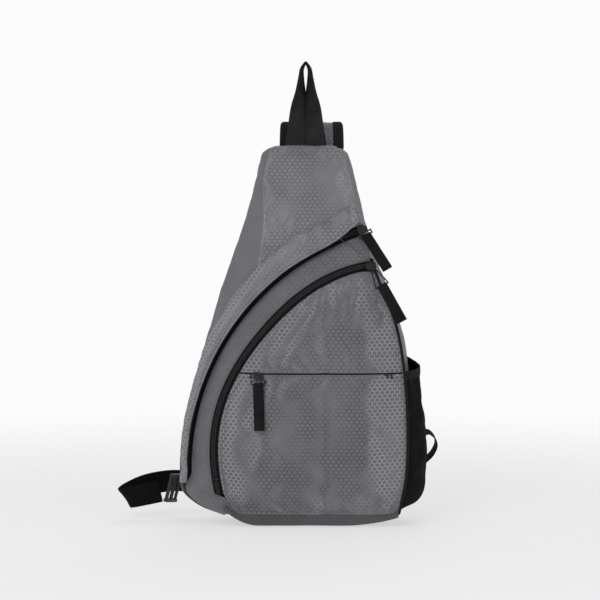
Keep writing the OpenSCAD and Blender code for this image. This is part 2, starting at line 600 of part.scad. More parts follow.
back_mesh_panel();
back_foam_pad();
back_lining();
left_gusset();
right_gusset();
bottom_panel();
upper_front_panel();
storm_flap();
mid_panel();
front_upper_panel();
front_lower_panel();
divider_panel();
slip_pocket_liner();
main_zip_tape();
main_zip_coil();
front_zip_tape();
front_zip_coil();
pocket_zip_tape();
pocket_zip_coil();
zip_end_stops();
edge_piping();
side_mesh_pocket();
side_pocket_binding();
strap_anchor_patch();
corner_anchor_web();
grab_loop();
side_loop();
main_zip_slider();
main_pull_ring();
main_pull_tab();
front_zip_slider();
front_pull_ring();
front_pull_tab();
pocket_zip_slider();
pocket_pull_ring();
pocket_pull_tab();
strap_root_face();
strap_root_foam();
strap_root_backing();
strap_root_binding();
strap_pad_face();
strap_pad_foam();
strap_pad_backing();
strap_pad_binding();
strap_webbing();
ladder_lock();
webbing_loop();
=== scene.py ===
"""Looks of a teardrop sling bag: draped fabric panels, webbing, zips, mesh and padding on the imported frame.

Lengths are in millimetres until a mesh is made; MM turns them into the frame's metres.
+X is right seen from the front, the front faces -Y and +Z is up.
"""
import json
import math

import bpy
import numpy as np
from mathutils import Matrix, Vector, noise


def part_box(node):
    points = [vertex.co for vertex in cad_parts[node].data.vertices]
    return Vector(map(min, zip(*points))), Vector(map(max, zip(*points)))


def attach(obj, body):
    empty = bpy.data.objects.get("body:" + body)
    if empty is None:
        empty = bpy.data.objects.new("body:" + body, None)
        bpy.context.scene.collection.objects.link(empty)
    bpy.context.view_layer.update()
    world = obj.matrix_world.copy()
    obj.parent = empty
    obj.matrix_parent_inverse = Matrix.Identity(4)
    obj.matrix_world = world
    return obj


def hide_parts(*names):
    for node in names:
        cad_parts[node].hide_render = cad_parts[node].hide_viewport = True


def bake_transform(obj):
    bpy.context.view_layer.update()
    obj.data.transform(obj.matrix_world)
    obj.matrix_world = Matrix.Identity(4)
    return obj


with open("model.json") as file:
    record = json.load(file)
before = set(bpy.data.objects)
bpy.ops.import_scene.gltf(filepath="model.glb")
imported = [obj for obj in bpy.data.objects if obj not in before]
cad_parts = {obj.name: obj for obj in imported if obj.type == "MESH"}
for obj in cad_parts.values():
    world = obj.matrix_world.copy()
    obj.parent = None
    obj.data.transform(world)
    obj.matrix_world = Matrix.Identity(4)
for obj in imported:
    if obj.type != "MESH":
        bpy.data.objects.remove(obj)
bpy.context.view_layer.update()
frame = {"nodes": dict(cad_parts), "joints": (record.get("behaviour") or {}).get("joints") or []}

MM = 0.001
SCENE = bpy.context.scene
JOINTS = {j["name"]: j for j in frame["joints"]}


# ---------- small tools ----------
def lerp(a, b, t):
    return a + (b - a) * t


def ease(t):
    t = np.clip(t, 0.0, 1.0)
    return t * t * (3 - 2 * t)


def unit(v):
    v = np.asarray(v, float)
    return v / np.maximum(np.linalg.norm(v, axis=-1, keepdims=True), 1e-9)


def spline(points, t):
    """A smooth curve through the points (of any shape), at t from 0 to 1."""
    p = np.array(points, float)
    t = np.atleast_1d(np.asarray(t, float))
    n = len(p) - 1
    s = np.clip(np.floor(t * n), 0, n - 1).astype(int)
    f = (t * n - s).reshape((-1,) + (1,) * (p.ndim - 1))
    a, b, c, d = p[np.maximum(s - 1, 0)], p[s], p[s + 1], p[np.minimum(s + 2, n)]
    return 0.5 * (2 * b + (c - a) * f + (2 * a - 5 * b + 4 * c - d) * f**2 + (3 * b - 3 * c + d - a) * f**3)


def profile(stations, z):
    """The value at height z of a smooth profile through [height, value] stations, highest first."""
    h, v = np.array(stations[::-1], float).T
    slope = np.gradient(v, h)
    slope[1:-1] = (v[2:] - v[:-2]) / (h[2:] - h[:-2])
    z = np.clip(z, h[0], h[-1])
    i = np.clip(np.searchsorted(h, z, side="right") - 1, 0, len(h) - 2)
    w = h[i + 1] - h[i]
    t = (z - h[i]) / w
    return ((1 + 2 * t) * (1 - t) ** 2 * v[i] + t * (1 - t) ** 2 * w * slope[i]
            + t * t * (3 - 2 * t) * v[i + 1] + t * t * (t - 1) * w * slope[i + 1])


def fine_ends(n, crowd=0.6):
    """n + 1 values from 0 to 1 that lie closer together near both ends."""
    s = np.linspace(0, 1, n + 1)
    return lerp(s, 0.5 - 0.5 * np.cos(np.pi * s), crowd)


def xyz(x, y, z):
    """Points from coordinates that broadcast together."""
    return np.stack(np.broadcast_arrays(x, y, z), axis=-1).astype(float)


# ---------- the body's lines, as the frame has them ----------
BODY_TOP = round(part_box("upper_front_panel")[1].z / MM)
BACK_Y = round(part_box("back_mesh_panel")[1].y / MM, 1)
MAIN_Y = round(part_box("main_zip_tape")[0].y / MM, 1) - 0.5      # plane of the main zip
FRONT_Y = round(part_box("front_zip_tape")[0].y / MM, 1) - 0.5    # plane of the front zip
SEAM_Y = BACK_Y - 7                                             # back ends of the side panels
MAIN_C, MAIN_R = (149.0, 63.0), 283.0
FRONT_C, FRONT_R, FRONT_WAVE = (118.8, 76.5), 220.4, 2.0
MAIN_A0, MAIN_A1, CREASE_A = 107.4, 181.0, 136.0
FRONT_A0, FRONT_END = 101.8, 190.9
EDGE = 5.0              # how far a panel's edge stays from the middle of a zip
TURNED = 2.2            # how much further the left side panel's edge stays
LIP = 1.8               # how far the panels' edges stand ahead of a zip's plane
POCKET_ZIP_Z = 170.0
CREASE_S, CORNER_S = 0.4, 0.9   # where the left edge changes from crease to zip, and from zip to corner

# outlines as [height, value] stations, highest first
HALF_W = [[430, 36], [420, 49], [345, 68], [251, 99], [157, 126], [75, 137], [30, 125], [10, 104]]
SIDE_Y = [[430, 30], [400, 26], [285, 18], [100, 8], [10, 10]]
RIGHT_X = [[430, 34], [420, 43], [338, 63.5], [288, 76.5], [222, 101], [150, 111], [65, 112], [10, 103]]
RIGHT_Y = [[430, 26], [420, 12], [345, -9], [325, -13], [298, -23], [288, -25.5], [222, -29], [150, -33],
           [65, -33], [10, -24]]
POCKET_H = [[288, 0.03], [262, 0.3], [225, 0.72], [178, 1], [90, 1], [45, 0.85], [14, 0.1]]
POCKET_BULGE = 22.0


def half_w(z):
    return profile(HALF_W, z)


def right_edge(z, off=0.0):
    return xyz(profile(RIGHT_X, z) + off, profile(RIGHT_Y, z), z)


def on_main(a, dr=0.0, y=MAIN_Y):
    """Points on the main zip's arc, at angles in degrees and dr outside it."""
    a = np.radians(a)
    return xyz(MAIN_C[0] + (MAIN_R + dr) * np.cos(a), y, MAIN_C[1] + (MAIN_R + dr) * np.sin(a))


def front_r(a):
    return FRONT_R + FRONT_WAVE * np.cos(np.radians(6.1 * (a - 111)))


def on_front(a, dr=0.0, y=FRONT_Y):
    """The same on the front zip's line, whose radius waves a little."""
    r = front_r(a) + dr
    a = np.radians(a)
    return xyz(FRONT_C[0] + r * np.cos(a), y, FRONT_C[1] + r * np.sin(a))


def left_edge(s):
    """The left side panel's front edge from the top down: a crease, the main zip, then the corner."""
    s = np.asarray(s, float)
    meet = on_main(CREASE_A, EDGE + TURNED, MAIN_Y - LIP)
    low = on_main(MAIN_A1, EDGE + TURNED, MAIN_Y - LIP)
    crease_line = [[-38, 23, 428], [-47.5, 4, 392], [-47, -8, 345], [-53, -11, 300], meet]
    corner_line = [low, [-139.5, MAIN_Y, 38], [-120, -6, 20], [-92, 2, 8]]
    crease = spline(crease_line, np.clip(s / CREASE_S, 0, 1))
    a = lerp(CREASE_A, MAIN_A1, (s - CREASE_S) / (CORNER_S - CREASE_S))
    zip_part = on_main(a, EDGE + TURNED, MAIN_Y - LIP)
    corner = spline(corner_line, np.clip((s - CORNER_S) / 0.1, 0, 1))
    return np.where((s < CREASE_S)[:, None], crease, np.where((s < CORNER_S)[:, None], zip_part, corner))


def pocket_left_x(z):
    """Where the front pocket's left edge is, across, beside the front zip."""
    def beside(h):
        a = 180 - np.degrees(np.arcsin((h - FRONT_C[1]) / FRONT_R))
        r = front_r(a) - EDGE
        return FRONT_C[0] + r * np.cos(np.pi - np.arcsin((h - FRONT_C[1]) / r))
    low = np.array(36.0)
    corner_x, corner_drop = -77.0, 22
    return np.where(z > low, beside(np.maximum(z, low)), lerp(beside(low), corner_x, (low - z) / corner_drop))


def pocket_face(z, u, out=0.0):
    """The front pocket's face at height z, u from its left edge to its right."""
    bulge = (1 - np.abs(2 * u - 1) ** 6) ** 2 * POCKET_BULGE * profile(POCKET_H, z)
    y = lerp(FRONT_Y - LIP, profile(RIGHT_Y, z), u) - bulge * lerp(1, 0.8, u) - out
    return xyz(lerp(pocket_left_x(z), profile(RIGHT_X, z) + 0.5, u), y, z)


def side_w(z):
    return half_w(z) - 5 * np.where(z < 170, 1, ease((215 - z) / 45))


def side_face(z, v):
    """The right side at height z, v from the back seam to the front edge."""
    rails = np.stack([xyz(half_w(z) - 9, SEAM_Y, z), xyz(side_w(z), profile(SIDE_Y, z), z),
                      right_edge(z, 0.9) - [0, 0.6, 0]])
    return spline(rails, np.ravel(v))


# ---------- fabric sheets ----------
def grid_normals(g):
    n = np.cross(np.gradient(g, axis=1), np.gradient(g, axis=0))
    return unit(n)


def facing(g, at, direction):
    """The sheet, turned over if its outer face looks away from the direction."""
    return g if np.dot(grid_normals(g)[at], direction) > 0 else g[::-1]


def edge_distances(g):
    """Each grid point's distance to the top, bottom, left and right edge, along the sheet."""
    down = np.linalg.norm(np.diff(g, axis=0), axis=2)
    across = np.linalg.norm(np.diff(g, axis=1), axis=2)
    top = np.vstack([np.zeros(g.shape[1]), np.cumsum(down, axis=0)])
    left = np.hstack([np.zeros((g.shape[0], 1)), np.cumsum(across, axis=1)])
    return {"top": top, "bottom": top[-1:] - top, "left": left, "right": left[:, -1:] - left}


def noise_field(points, scale, seed):
    """Smooth noise about -1 to 1 with the given feature size, in millimetres."""
    shift = Vector((seed * 3.1, seed * 7.7, seed * 1.9))
    flat = points.reshape(-1, 3) / scale
    return np.array([noise.noise(Vector(p) + shift) for p in flat]).reshape(points.shape[:-1])


def make_mesh(name, verts, faces, uvs=None):
    mesh = bpy.data.meshes.new(name)
    mesh.from_pydata((np.asarray(verts, float) * MM).tolist(), [], faces)
    mesh.update()
    if uvs is not None:
        layer = mesh.uv_layers.new(name="fabric")
        index = np.zeros(len(mesh.loops), np.int32)
        mesh.loops.foreach_get("vertex_index", index)
        layer.data.foreach_set("uv", np.asarray(uvs, np.float32)[index].ravel())
    mesh.polygons.foreach_set("use_smooth", [True] * len(mesh.polygons))
    obj = bpy.data.objects.new(name, mesh)
    SCENE.collection.objects.link(obj)
    return obj


def baked(obj):
    """Applies the object's modifiers to its mesh."""
    bpy.context.view_layer.update()
    mesh = bpy.data.meshes.new_from_object(obj.evaluated_get(bpy.context.evaluated_depsgraph_get()))
    obj.modifiers.clear()
    obj.data = mesh
    return mesh


def vertex_data(mesh, what="co"):
    """A mesh's vertex positions or normals, one row each."""
    flat = np.zeros(len(mesh.vertices) * 3, np.float32)
    mesh.vertices.foreach_get(what, flat)
    return flat.reshape(-1, 3)


def node_points(node):
    """The vertices of a CAD node, in millimetres."""
    return vertex_data(frame["nodes"][node].data).astype(float) / MM


def add_piece(obj, mat, slot, body="bag", nodes=(), blend=None, subdivide=0):
    """Gives a new piece its material, body and the CAD nodes it stands for; its finish slot is not used."""
    obj.data.materials.append(mat)
    if subdivide:
        mod = obj.modifiers.new("soften", "SUBSURF")
        mod.levels = mod.render_levels = subdivide
        baked(obj)
    if blend:
        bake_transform(obj)
    else:
        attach(obj, body)
    if nodes:
        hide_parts(*nodes)
    return obj


def quad_grid(rows, cols, start=0):
    i, j = np.meshgrid(np.arange(rows - 1), np.arange(cols - 1), indexing="ij")
    a = (start + i * cols + j).ravel()
    return np.stack([a, a + cols, a + cols + 1, a + 1], axis=1)


def settled(obj, frames, **settings):
    """The object's vertices after a cloth pass without gravity, which leaves no modifier behind."""
    cloth = obj.modifiers.new("cloth", "CLOTH")
    cloth.settings.use_pressure = True
    cloth.settings.effector_weights.gravity = 0
    for key, value in settings.items():
        setattr(cloth.settings, key, value)
    for f in range(1, frames + 1):
        SCENE.frame_set(f)
    found = vertex_data(obj.evaluated_get(bpy.context.evaluated_depsgraph_get()).data)
    SCENE.frame_set(1)
    obj.modifiers.clear()
    return found


def limited(moved, cap):
    """Moves no longer than cap."""
    return moved * np.minimum(1, cap / np.maximum(np.linalg.norm(moved, axis=-1, keepdims=True), 1e-9))


def drape(g, pinned, pressure=1.0, slack=0.01, cap=3.0, frames=16):
    """One layer of cloth after it settles: held where pinned is true, a little too large for its frame."""
    rows, cols = g.shape[:2]
    cloth = make_mesh("cloth_pass", g.reshape(-1, 3), quad_grid(rows, cols).tolist())
    held = cloth.vertex_groups.new(name="held")
    held.add([int(i) for i in np.flatnonzero(pinned.ravel())], 1.0, "REPLACE")
    found = settled(cloth, frames, vertex_group_mass="held", quality=5, mass=0.15, tension_stiffness=12,
                    compression_stiffness=6, shear_stiffness=4, bending_stiffness=0.4, air_damping=4,
                    uniform_pressure_force=pressure, shrink_min=-slack)
    bpy.data.objects.remove(cloth)
    return g + limited(found.reshape(rows, cols, 3).astype(float) / MM - g, cap)


SIDES = ("top", "bottom", "left", "right")


def border(g, sides=SIDES, width=3.6):
    """The points that a seam holds: those within a seam allowance of the named edges."""
    d = edge_distances(g)
    return np.logical_or.reduce([d[side] <= width for side in sides])


def dress(g, seed, rolls=None, stitch_rows=(), pucker=0.35, crumple=0.5, size=34.0):
    """Turned-in edges, sewn grooves, puckers beside the seams and gentle creases on a draped sheet."""
    d = edge_distances(g)
    n = grid_normals(g)
    rolls = rolls or {}
    depth = np.zeros(g.shape[:2])
    for side, (deep, wide) in rolls.items():
        depth -= deep * np.clip(1 - d[side] / wide, 0, 1) ** 2
    for side, inset, *deep in stitch_rows:
        depth -= (deep or [0.45])[0] * np.exp(-((d[side] - inset) / 1.3) ** 2)
    nearest = np.minimum.reduce([d[s] for s in rolls]) if rolls else np.full(g.shape[:2], 1e3)
    along = d["left"] + d["top"]
    wobble = noise_field(g, 11.0, seed)
    depth += pucker * np.exp(-nearest / 7) * (1 - np.exp(-nearest / 2)) * np.sin(along / 1.9 + 5 * wobble)
    inside = 1 - np.exp(-nearest / 9)
    depth += crumple * inside * (noise_field(g, size, seed + 1) + 0.4 * noise_field(g, size * 0.4, seed + 2))
    return g + n * depth[..., None]


def cloth_uv(g, mode):
    """Fabric coordinates in millimetres: seen from the front, or measured round the sheet."""
    if mode == "front":
        return np.stack([g[..., 0], g[..., 2]], axis=-1)
    if mode == "base":
        return np.stack([g[..., 0], edge_distances(g)["top"]], axis=-1)
    return np.stack([edge_distances(g)[mode], g[..., 2]], axis=-1)


def sheet_piece(name, g, thick, mat, slot, nodes=(), uv="front", subdivide=1, **ride):
    """A closed sheet of cloth: g is its outer face and it is thick on the other side."""
    rows, cols = g.shape[:2]
    n = rows * cols
    inner = g - thick * grid_normals(g)
    top = quad_grid(rows, cols)
    under = quad_grid(rows, cols, n)[:, ::-1]
    index = np.arange(n).reshape(rows, cols)
    ring = np.concatenate([index[0], index[1:, -1], index[-1, -2::-1], index[-2:0:-1, 0]])
    nxt = np.roll(ring, -1)
    hem = np.stack([ring, nxt, nxt + n, ring + n], axis=1)
    flat = cloth_uv(g, uv).reshape(-1, 2)
    obj = make_mesh(name, np.vstack([g.reshape(-1, 3), inner.reshape(-1, 3)]),
                    np.vstack([top, under, hem]).tolist(), np.vstack([flat, flat]))
    return add_piece(obj, mat, slot, nodes=nodes, subdivide=subdivide, **ride)


def line_on(g, side, inset):
    """Points and normals of a line on the sheet that stays at a distance from one edge."""
    d = edge_distances(g)[side]
    n = grid_normals(g)
    if side in ("left", "right"):
        d, g, n = d.T, g.transpose(1, 0, 2), n.transpose(1, 0, 2)
    if side in ("bottom", "right"):
        d, g, n = d[::-1], g[::-1], n[::-1]
    out, normals = [], []
    for j in range(g.shape[1]):
        out.append([np.interp(inset, d[:, j], g[:, j, k]) for k in range(3)])
        normals.append([np.interp(inset, d[:, j], n[:, j, k]) for k in range(3)])
    return np.array(out), unit(normals)


# ---------- cords, webbing, stitches ----------
def by_length(path, *others, step=None, count=None):
    """Resamples a path, and anything that runs with it, at even steps."""
    path = np.asarray(path, float)
    run = np.concatenate([[0], np.cumsum(np.linalg.norm(np.diff(path, axis=0), axis=1))])
    count = count or max(int(run[-1] / step), 2)
    at = np.linspace(0, run[-1], count + 1)
    picked = [np.stack([np.interp(at, run, column) for column in a.T], axis=1) for a in (path, *others)]
    return (at, *picked)


def tube(path, section, u_dir, v_dir):
    """Verts and faces of a section (points in u, v) swept along a path, closed at both ends."""
    m, k = len(path), len(section)
    u, v = section[None, :, :1], section[None, :, 1:]
    verts = path[:, None, :] + u * u_dir[:, None, :] + v * v_dir[:, None, :]
    i, j = np.meshgrid(np.arange(m - 1), np.arange(k), indexing="ij")
    a, b = (i * k + j).ravel(), (i * k + (j + 1) % k).ravel()
    faces = np.stack([a, b, b + k, a + k], axis=1).tolist()
    faces += [list(range(k))[::-1], [(m - 1) * k + j for j in range(k)]]
    return verts.reshape(-1, 3), faces


def ribbon(name, path, across, width, thick, mat, slot, nodes=(), crown=0.0, step=2.0, subdivide=0, **ride):
    """Flat webbing along a path, with rounded selvedges; its fabric coordinates run along it."""
    at, path, across = by_length(path, across, step=step)
    tangent = unit(np.gradient(path, axis=0))
    across = unit(across - tangent * np.sum(across * tangent, axis=1, keepdims=True))
    up = np.cross(across, tangent)
    half, t = width / 2, thick / 2
    x = np.concatenate([np.linspace(-1, 1, 13), np.linspace(1, -1, 13)])
    side = np.concatenate([np.ones(13), -np.ones(13)])
    edge_round = np.sqrt(np.clip(1 - np.clip((np.abs(x) * half - (half - t)) / t, 0, 1) ** 2, 0.02, 1))
    rib = 1 - 0.16 * np.exp(-((np.abs(x) - 0.86) / 0.05) ** 2)
    section = np.stack([x * half, side * t * edge_round * rib + crown * (1 - x * x)], axis=1)
    verts, faces = tube(path, section, across, up)
    uvs = np.stack([np.tile(x * half, len(path)), np.repeat(at, len(x))], axis=1)
    return add_piece(make_mesh(name, verts, faces, uvs), mat, slot, nodes=nodes, subdivide=subdivide, **ride)


def cord(name, path, radius, mat, slot, nodes=(), **ride):
    """A round cord along a path."""
    sides = 10
    at, path = by_length(path, step=1.6)
    tangent = unit(np.gradient(path, axis=0))
    u = unit(np.cross(tangent, [0.03, 1, 0.02]))
    v = np.cross(tangent, u)
    ang = np.linspace(0, 2 * np.pi, sides, endpoint=False)
    verts, faces = tube(path, radius * np.stack([np.cos(ang), np.sin(ang)], axis=1), u, v)
    uvs = np.stack([np.tile(ang * radius, len(path)), np.repeat(at, sides)], axis=1)
    return add_piece(make_mesh(name, verts, faces, uvs), mat, slot, nodes=nodes, **ride)


CAPSULE_T = (-1.0, -0.72, 0.0, 0.72, 1.0)
CAPSULE_R = (0.25, 0.8, 1.0, 0.8, 0.25)


def capsules(centres, along, up, half_len, radius, flat):
    """Verts and faces of many small rounded rods."""
    sides = 6
    side = unit(np.cross(along, up))
    ang = np.linspace(0, 2 * np.pi, sides, endpoint=False)
    rings = []
    for t, r in zip(CAPSULE_T, CAPSULE_R):
        for a in ang:
            rings.append(centres + along * half_len * t + side * radius * r * math.cos(a)
                         + up * radius * flat * r * math.sin(a))
    verts = np.stack(rings, axis=1)
    k, m = sides, len(CAPSULE_T)    # points round a rod, and rings along it
    local = [[i * k + j, i * k + (j + 1) % k, (i + 1) * k + (j + 1) % k, (i + 1) * k + j]
             for i in range(m - 1) for j in range(k)]
    caps = [list(range(k))[::-1], [(m - 1) * k + j for j in range(k)]]
    faces = []
    for c in range(len(centres)):
        base = c * m * k
        faces += [[base + q for q in f] for f in local + caps]
    return verts.reshape(-1, 3), faces


def merged(parts):
    """One set of verts and faces from many."""
    verts, faces, base = [], [], 0
    for v, f in parts:
        faces += [[q + base for q in face] for face in f]
        verts.append(v)
        base += len(v)
    return np.vstack(verts), faces


def stitches(name, lines, mat, slot, pitch=3.2, length=2.3, radius=0.28, **ride):
    """Sewing thread: rows of stitches lying along lines of (points, normals)."""
    parts = []
    for points, normals in lines:
        _, p, n = by_length(points, np.asarray(normals, float), step=pitch)
        along = unit(np.gradient(p, axis=0))
        up = unit(n)
        parts.append(capsules(p + up * 0.12, along, up, length / 2, radius, flat=0.7))
    return add_piece(make_mesh(name, *merged(parts)), mat, slot, **ride)


# ---------- materials ----------
TURN = 6.283        # one turn of a sine wave
HEX_TALL = 0.866    # the distance between rows of hexagons that are 1 wide


class Material:
    """A short way to write a node material."""

    def __init__(self, name):
        self.mat = bpy.data.materials.new(name)
        self.mat.use_nodes = True
        self.tree = self.mat.node_tree
        self.tree.nodes.clear()

    def node(self, kind, outputs=0, props=None, **inputs):
        node = self.tree.nodes.new(kind)
        for key, value in (props or {}).items():
            setattr(node, key, value)
        for key, value in inputs.items():
            socket = node.inputs[int(key[1:])] if key[0] == "i" and key[1:].isdigit() else node.inputs[key]
            if isinstance(value, bpy.types.NodeSocket):
                self.tree.links.new(value, socket)
            else:
                socket.default_value = value
        return node.outputs[outputs] if outputs is not None else node

    def math(self, op, a, b=0.0):
        return self.node("ShaderNodeMath", props={"operation": op}, i0=a, i1=b, i2=0.0)

    def add(self, a, b):
        return self.math("ADD", a, b)

    def mul(self, a, b):
        return self.math("MULTIPLY", a, b)

    def wave(self, a, pitch=1.0):
        return self.math("SINE", self.mul(a, TURN / pitch))

    def vec(self, op, a, b=(0, 0, 0), c=(0, 0, 0), out=0):
        return self.node("ShaderNodeVectorMath", out, {"operation": op}, i0=a, i1=b, i2=c)

    def scaled(self, a, k):
        return self.vec("MULTIPLY", a, k)

    def split(self, a):
        node = self.tree.nodes.new("ShaderNodeSeparateXYZ")
        self.tree.links.new(a, node.inputs[0])
        return node.outputs

    def fade(self, value, low, high, to_low=0.0, to_high=1.0):
        smooth = {"interpolation_type": "SMOOTHSTEP"}
        return self.node("ShaderNodeMapRange", props=smooth, i0=value, i1=low, i2=high, i3=to_low, i4=to_high)

    def mix(self, fac, a, b):
        return self.node("ShaderNodeMix", 2, {"data_type": "RGBA"}, i0=fac, i6=a, i7=b)

    def greys(self, fac, value, low, high):
        return self.mix(fac, grey(value * low), grey(value * high))

    def noise(self, vector, scale, detail=2.0, rough=0.5):
        return self.node("ShaderNodeTexNoise", 0, Vector=vector, Scale=scale, Detail=detail, Roughness=rough)

    def fabric(self):
        """Fabric coordinates in millimetres."""
        return self.node("ShaderNodeUVMap", props={"uv_map": "fabric"})

    def place(self):
        """Place in the object, in millimetres."""
        return self.scaled(self.node("ShaderNodeTexCoord", 3), (1000, 1000, 1000))

    def bump(self, height, distance, normal=None, strength=1.0):
        more = {"Normal": normal} if normal is not None else {}
        return self.node("ShaderNodeBump", Height=height, Distance=distance * MM, Strength=strength, **more)

    def finish(self, colour, roughness, normal=None, metallic=0.0, specular=0.5, sheen=0.0):
        shader = self.tree.nodes.new("ShaderNodeBsdfPrincipled")
        for key, value in {"Base Color": colour, "Roughness": roughness, "Metallic": metallic,
                           "Specular IOR Level": specular, "Sheen Weight": sheen, "Normal": normal}.items():
            if isinstance(value, bpy.types.NodeSocket):
                self.tree.links.new(value, shader.inputs[key])
            elif value is not None:
                shader.inputs[key].default_value = value
        shader.inputs["Sheen Roughness"].default_value = 0.5
        out = self.tree.nodes.new("ShaderNodeOutputMaterial")
        self.tree.links.new(shader.outputs[0], out.inputs[0])
        return self.mat


def grey(v, cool=0.09):
    """A grey of the given brightness, a little towards violet as cool grows."""
    return (v * (1 + cool * 0.25), v, v * (1 + cool), 1.0)


def hex_border(m, vector, pitch, rows):
    """How near a point is to the border of its hexagon: 0 in the middle and 0.5 on the border."""
    half = (0.5, HEX_TALL, 0.5)
    q = m.scaled(vector, (1 / pitch, HEX_TALL / rows, 0.0))
    low = tuple(-h for h in half)
    a = m.vec("WRAP", q, half, low)
    b = m.vec("WRAP", m.vec("ADD", q, (0.5, HEX_TALL, 0)), half, low)
    nearer = m.math("LESS_THAN", m.vec("LENGTH", a, out=1), m.vec("LENGTH", b, out=1))
    g = m.node("ShaderNodeMix", 1, {"data_type": "VECTOR"}, i0=nearer, i4=b, i5=a)
    g = m.vec("ABSOLUTE", g)
    x = m.split(g)
    slanted = m.vec("DOT_PRODUCT", g, (0.5, HEX_TALL, 0), out=1)
    return m.math("MAXIMUM", x[0], slanted)


def ripstop(name, value, line_dark=0.2, line_painted_glint=2.7, painted_glint_strength=1.0):
    """Coated polyester with a honeycomb ripstop, whose lines are dark face on and carry a painted glint,
    painted light where the surface turns aside.
    """
    m = Material(name)
    cloth = m.fabric()
    place = m.place()
    lines = m.fade(hex_border(m, cloth, 5.7, 4.0), 0.40, 0.475)
    threads = m.scaled(cloth, (1 / 0.55, 1 / 0.55, 0))
    parts = m.split(threads)
    weave = m.mul(m.wave(parts[0]), m.wave(parts[1]))
    cloud = m.noise(place, 0.018, 3.0, 0.6)
    # painted glint: the lines' colour turns lighter where the surface normal turns sideways, standing in for
    # a highlight
    turn = m.split(m.node("ShaderNodeNewGeometry", 1))
    aside = m.math("ABSOLUTE", m.add(turn[0], 0.06))
    patch = m.add(aside, m.mul(m.noise(place, 0.022, 2.0), 0.62))
    painted_glint = m.mul(m.fade(patch, 0.28, 0.86), painted_glint_strength)
    base = m.greys(m.fade(cloud, 0.3, 0.7), value, 0.90, 1.10)
    base = m.mix(m.mul(m.add(weave, 1.0), 0.09), base, grey(value * 0.5))
    line = m.greys(painted_glint, value, line_dark, line_painted_glint)
    colour = m.mix(m.mul(lines, 0.9), base, line)
    rough = m.math("SUBTRACT", 0.66, m.mul(lines, 0.22))
    crinkle = m.bump(m.noise(place, 0.09, 3.0, 0.6), 1.4, strength=0.5)
    relief = m.bump(lines, 0.22, crinkle, 0.8)
    normal = m.bump(weave, 0.07, relief, 0.6)
    return m.finish(colour, rough, normal, specular=0.28, sheen=0.02)


def webbing(name, value, pitch=1.5, chevron=3.2):
    """Woven tape: slanted ribs that zigzag across its width."""
    m = Material(name)
    u = m.split(m.fabric())
    zig = m.math("PINGPONG", u[0], chevron)
    ribs = m.wave(m.add(u[1], m.mul(zig, 0.75)), pitch)
    fibre = m.noise(m.scaled(m.fabric(), (3.0, 0.9, 1)), 1.0, 2.0)
    height = m.add(ribs, m.mul(fibre, 1.2))
    worn = m.noise(m.place(), 0.05, 2.0)
    tone = m.fade(m.add(m.mul(ribs, 0.25), worn), 0.15, 1.0)
    colour = m.greys(tone, value, 0.65, 1.55)
    return m.finish(colour, 0.72, m.bump(height, 0.22, strength=0.9), specular=0.07, sheen=0.012)


def grosgrain(name, value, rib=0.9):
    """Binding tape: fine ribs across it, with a stretchy, uneven face."""
    m = Material(name)
    u = m.split(m.fabric())
    ribs = m.wave(u[1], rib)
    fuzz = m.noise(m.place(), 0.5, 3.0)
    tone = m.fade(m.add(fuzz, m.mul(ribs, 0.2)), 0.2, 0.9)
    colour = m.greys(tone, value, 0.7, 1.4)
    normal = m.bump(m.add(ribs, fuzz), 0.14, strength=0.8)
    return m.finish(colour, 0.78, normal, specular=0.06, sheen=0.012)


def open_mesh(name, value, pitch, hole, depth):
    """Knitted mesh: rounded threads round hexagonal holes that are painted dark as shade."""
    m = Material(name)
    border = hex_border(m, m.fabric(), pitch, pitch * HEX_TALL)
    thread = m.fade(border, hole - 0.1, hole + 0.06)
    fuzz = m.noise(m.place(), 0.9, 2.0)
    lit = m.greys(fuzz, value, 0.8, 1.6)
    # painted shade: the holes are coloured near black
    colour = m.mix(thread, grey(value * 0.12), lit)
    normal = m.bump(m.add(thread, m.mul(fuzz, 0.3)), depth, strength=0.9)
    return m.finish(colour, 0.8, normal, specular=0.05, sheen=0.008)


def lining_cloth(name, value):
    """Plain woven lining."""
    m = Material(name)
    p = m.scaled(m.place(), (1 / 0.8, 1 / 0.8, 1 / 0.8))
    s = m.split(p)
    weave = m.mul(m.wave(s[0]), m.wave(s[2]))
    tone = m.fade(m.add(m.noise(m.place(), 0.04, 3.0), m.mul(weave, 0.1)), 0.2, 0.8)
    colour = m.greys(tone, value, 0.7, 1.3)
    return m.finish(colour, 0.6, m.bump(weave, 0.08, strength=0.7), specular=0.4)


def moulded(name, value, rough=0.42):
    """Moulded nylon with a spark-eroded grain."""
    m = Material(name)
    speck = m.noise(m.place(), 0.9, 3.0, 0.6)
    colour = m.greys(m.noise(m.place(), 0.06, 2.0), value, 0.8, 1.3)
    roughness = m.fade(speck, 0.3, 0.7, rough - 0.06, rough + 0.1)
    return m.finish(colour, roughness, m.bump(speck, 0.06, strength=0.7), specular=0.5)


def painted_metal(name, value):
    """Dark plated zinc, worn brighter in patches."""
    m = Material(name)
    wear = m.fade(m.noise(m.place(), 0.7, 4.0, 0.65), 0.55, 0.75)
    colour = m.mix(wear, grey(value), grey(value * 2.6))
    roughness = m.fade(m.noise(m.place(), 1.6, 2.0), 0.3, 0.7, 0.28, 0.46)
    return m.finish(colour, roughness, m.bump(wear, 0.04, strength=0.5), metallic=0.85)


def foam_cells(name, value):
    """Open cells, warm grey."""
    m = Material(name)
    cells = m.node("ShaderNodeTexVoronoi", 0, Vector=m.place(), Scale=0.9)
    colour = m.mix(cells, grey(value * 0.7, -0.04), grey(value, -0.04))
    return m.finish(colour, 0.95, m.bump(cells, 0.4, strength=0.8), specular=0.1)


def thread_material(name, value):
    """Twisted sewing thread."""
    m = Material(name)
    twist = m.node("ShaderNodeTexWave", 1, {"bands_direction": "DIAGONAL"}, Vector=m.place(), Scale=0.9)
    colour = m.greys(twist, value, 0.7, 1.2)
    return m.finish(colour, 0.55, m.bump(twist, 0.08, strength=0.7), specular=0.4)
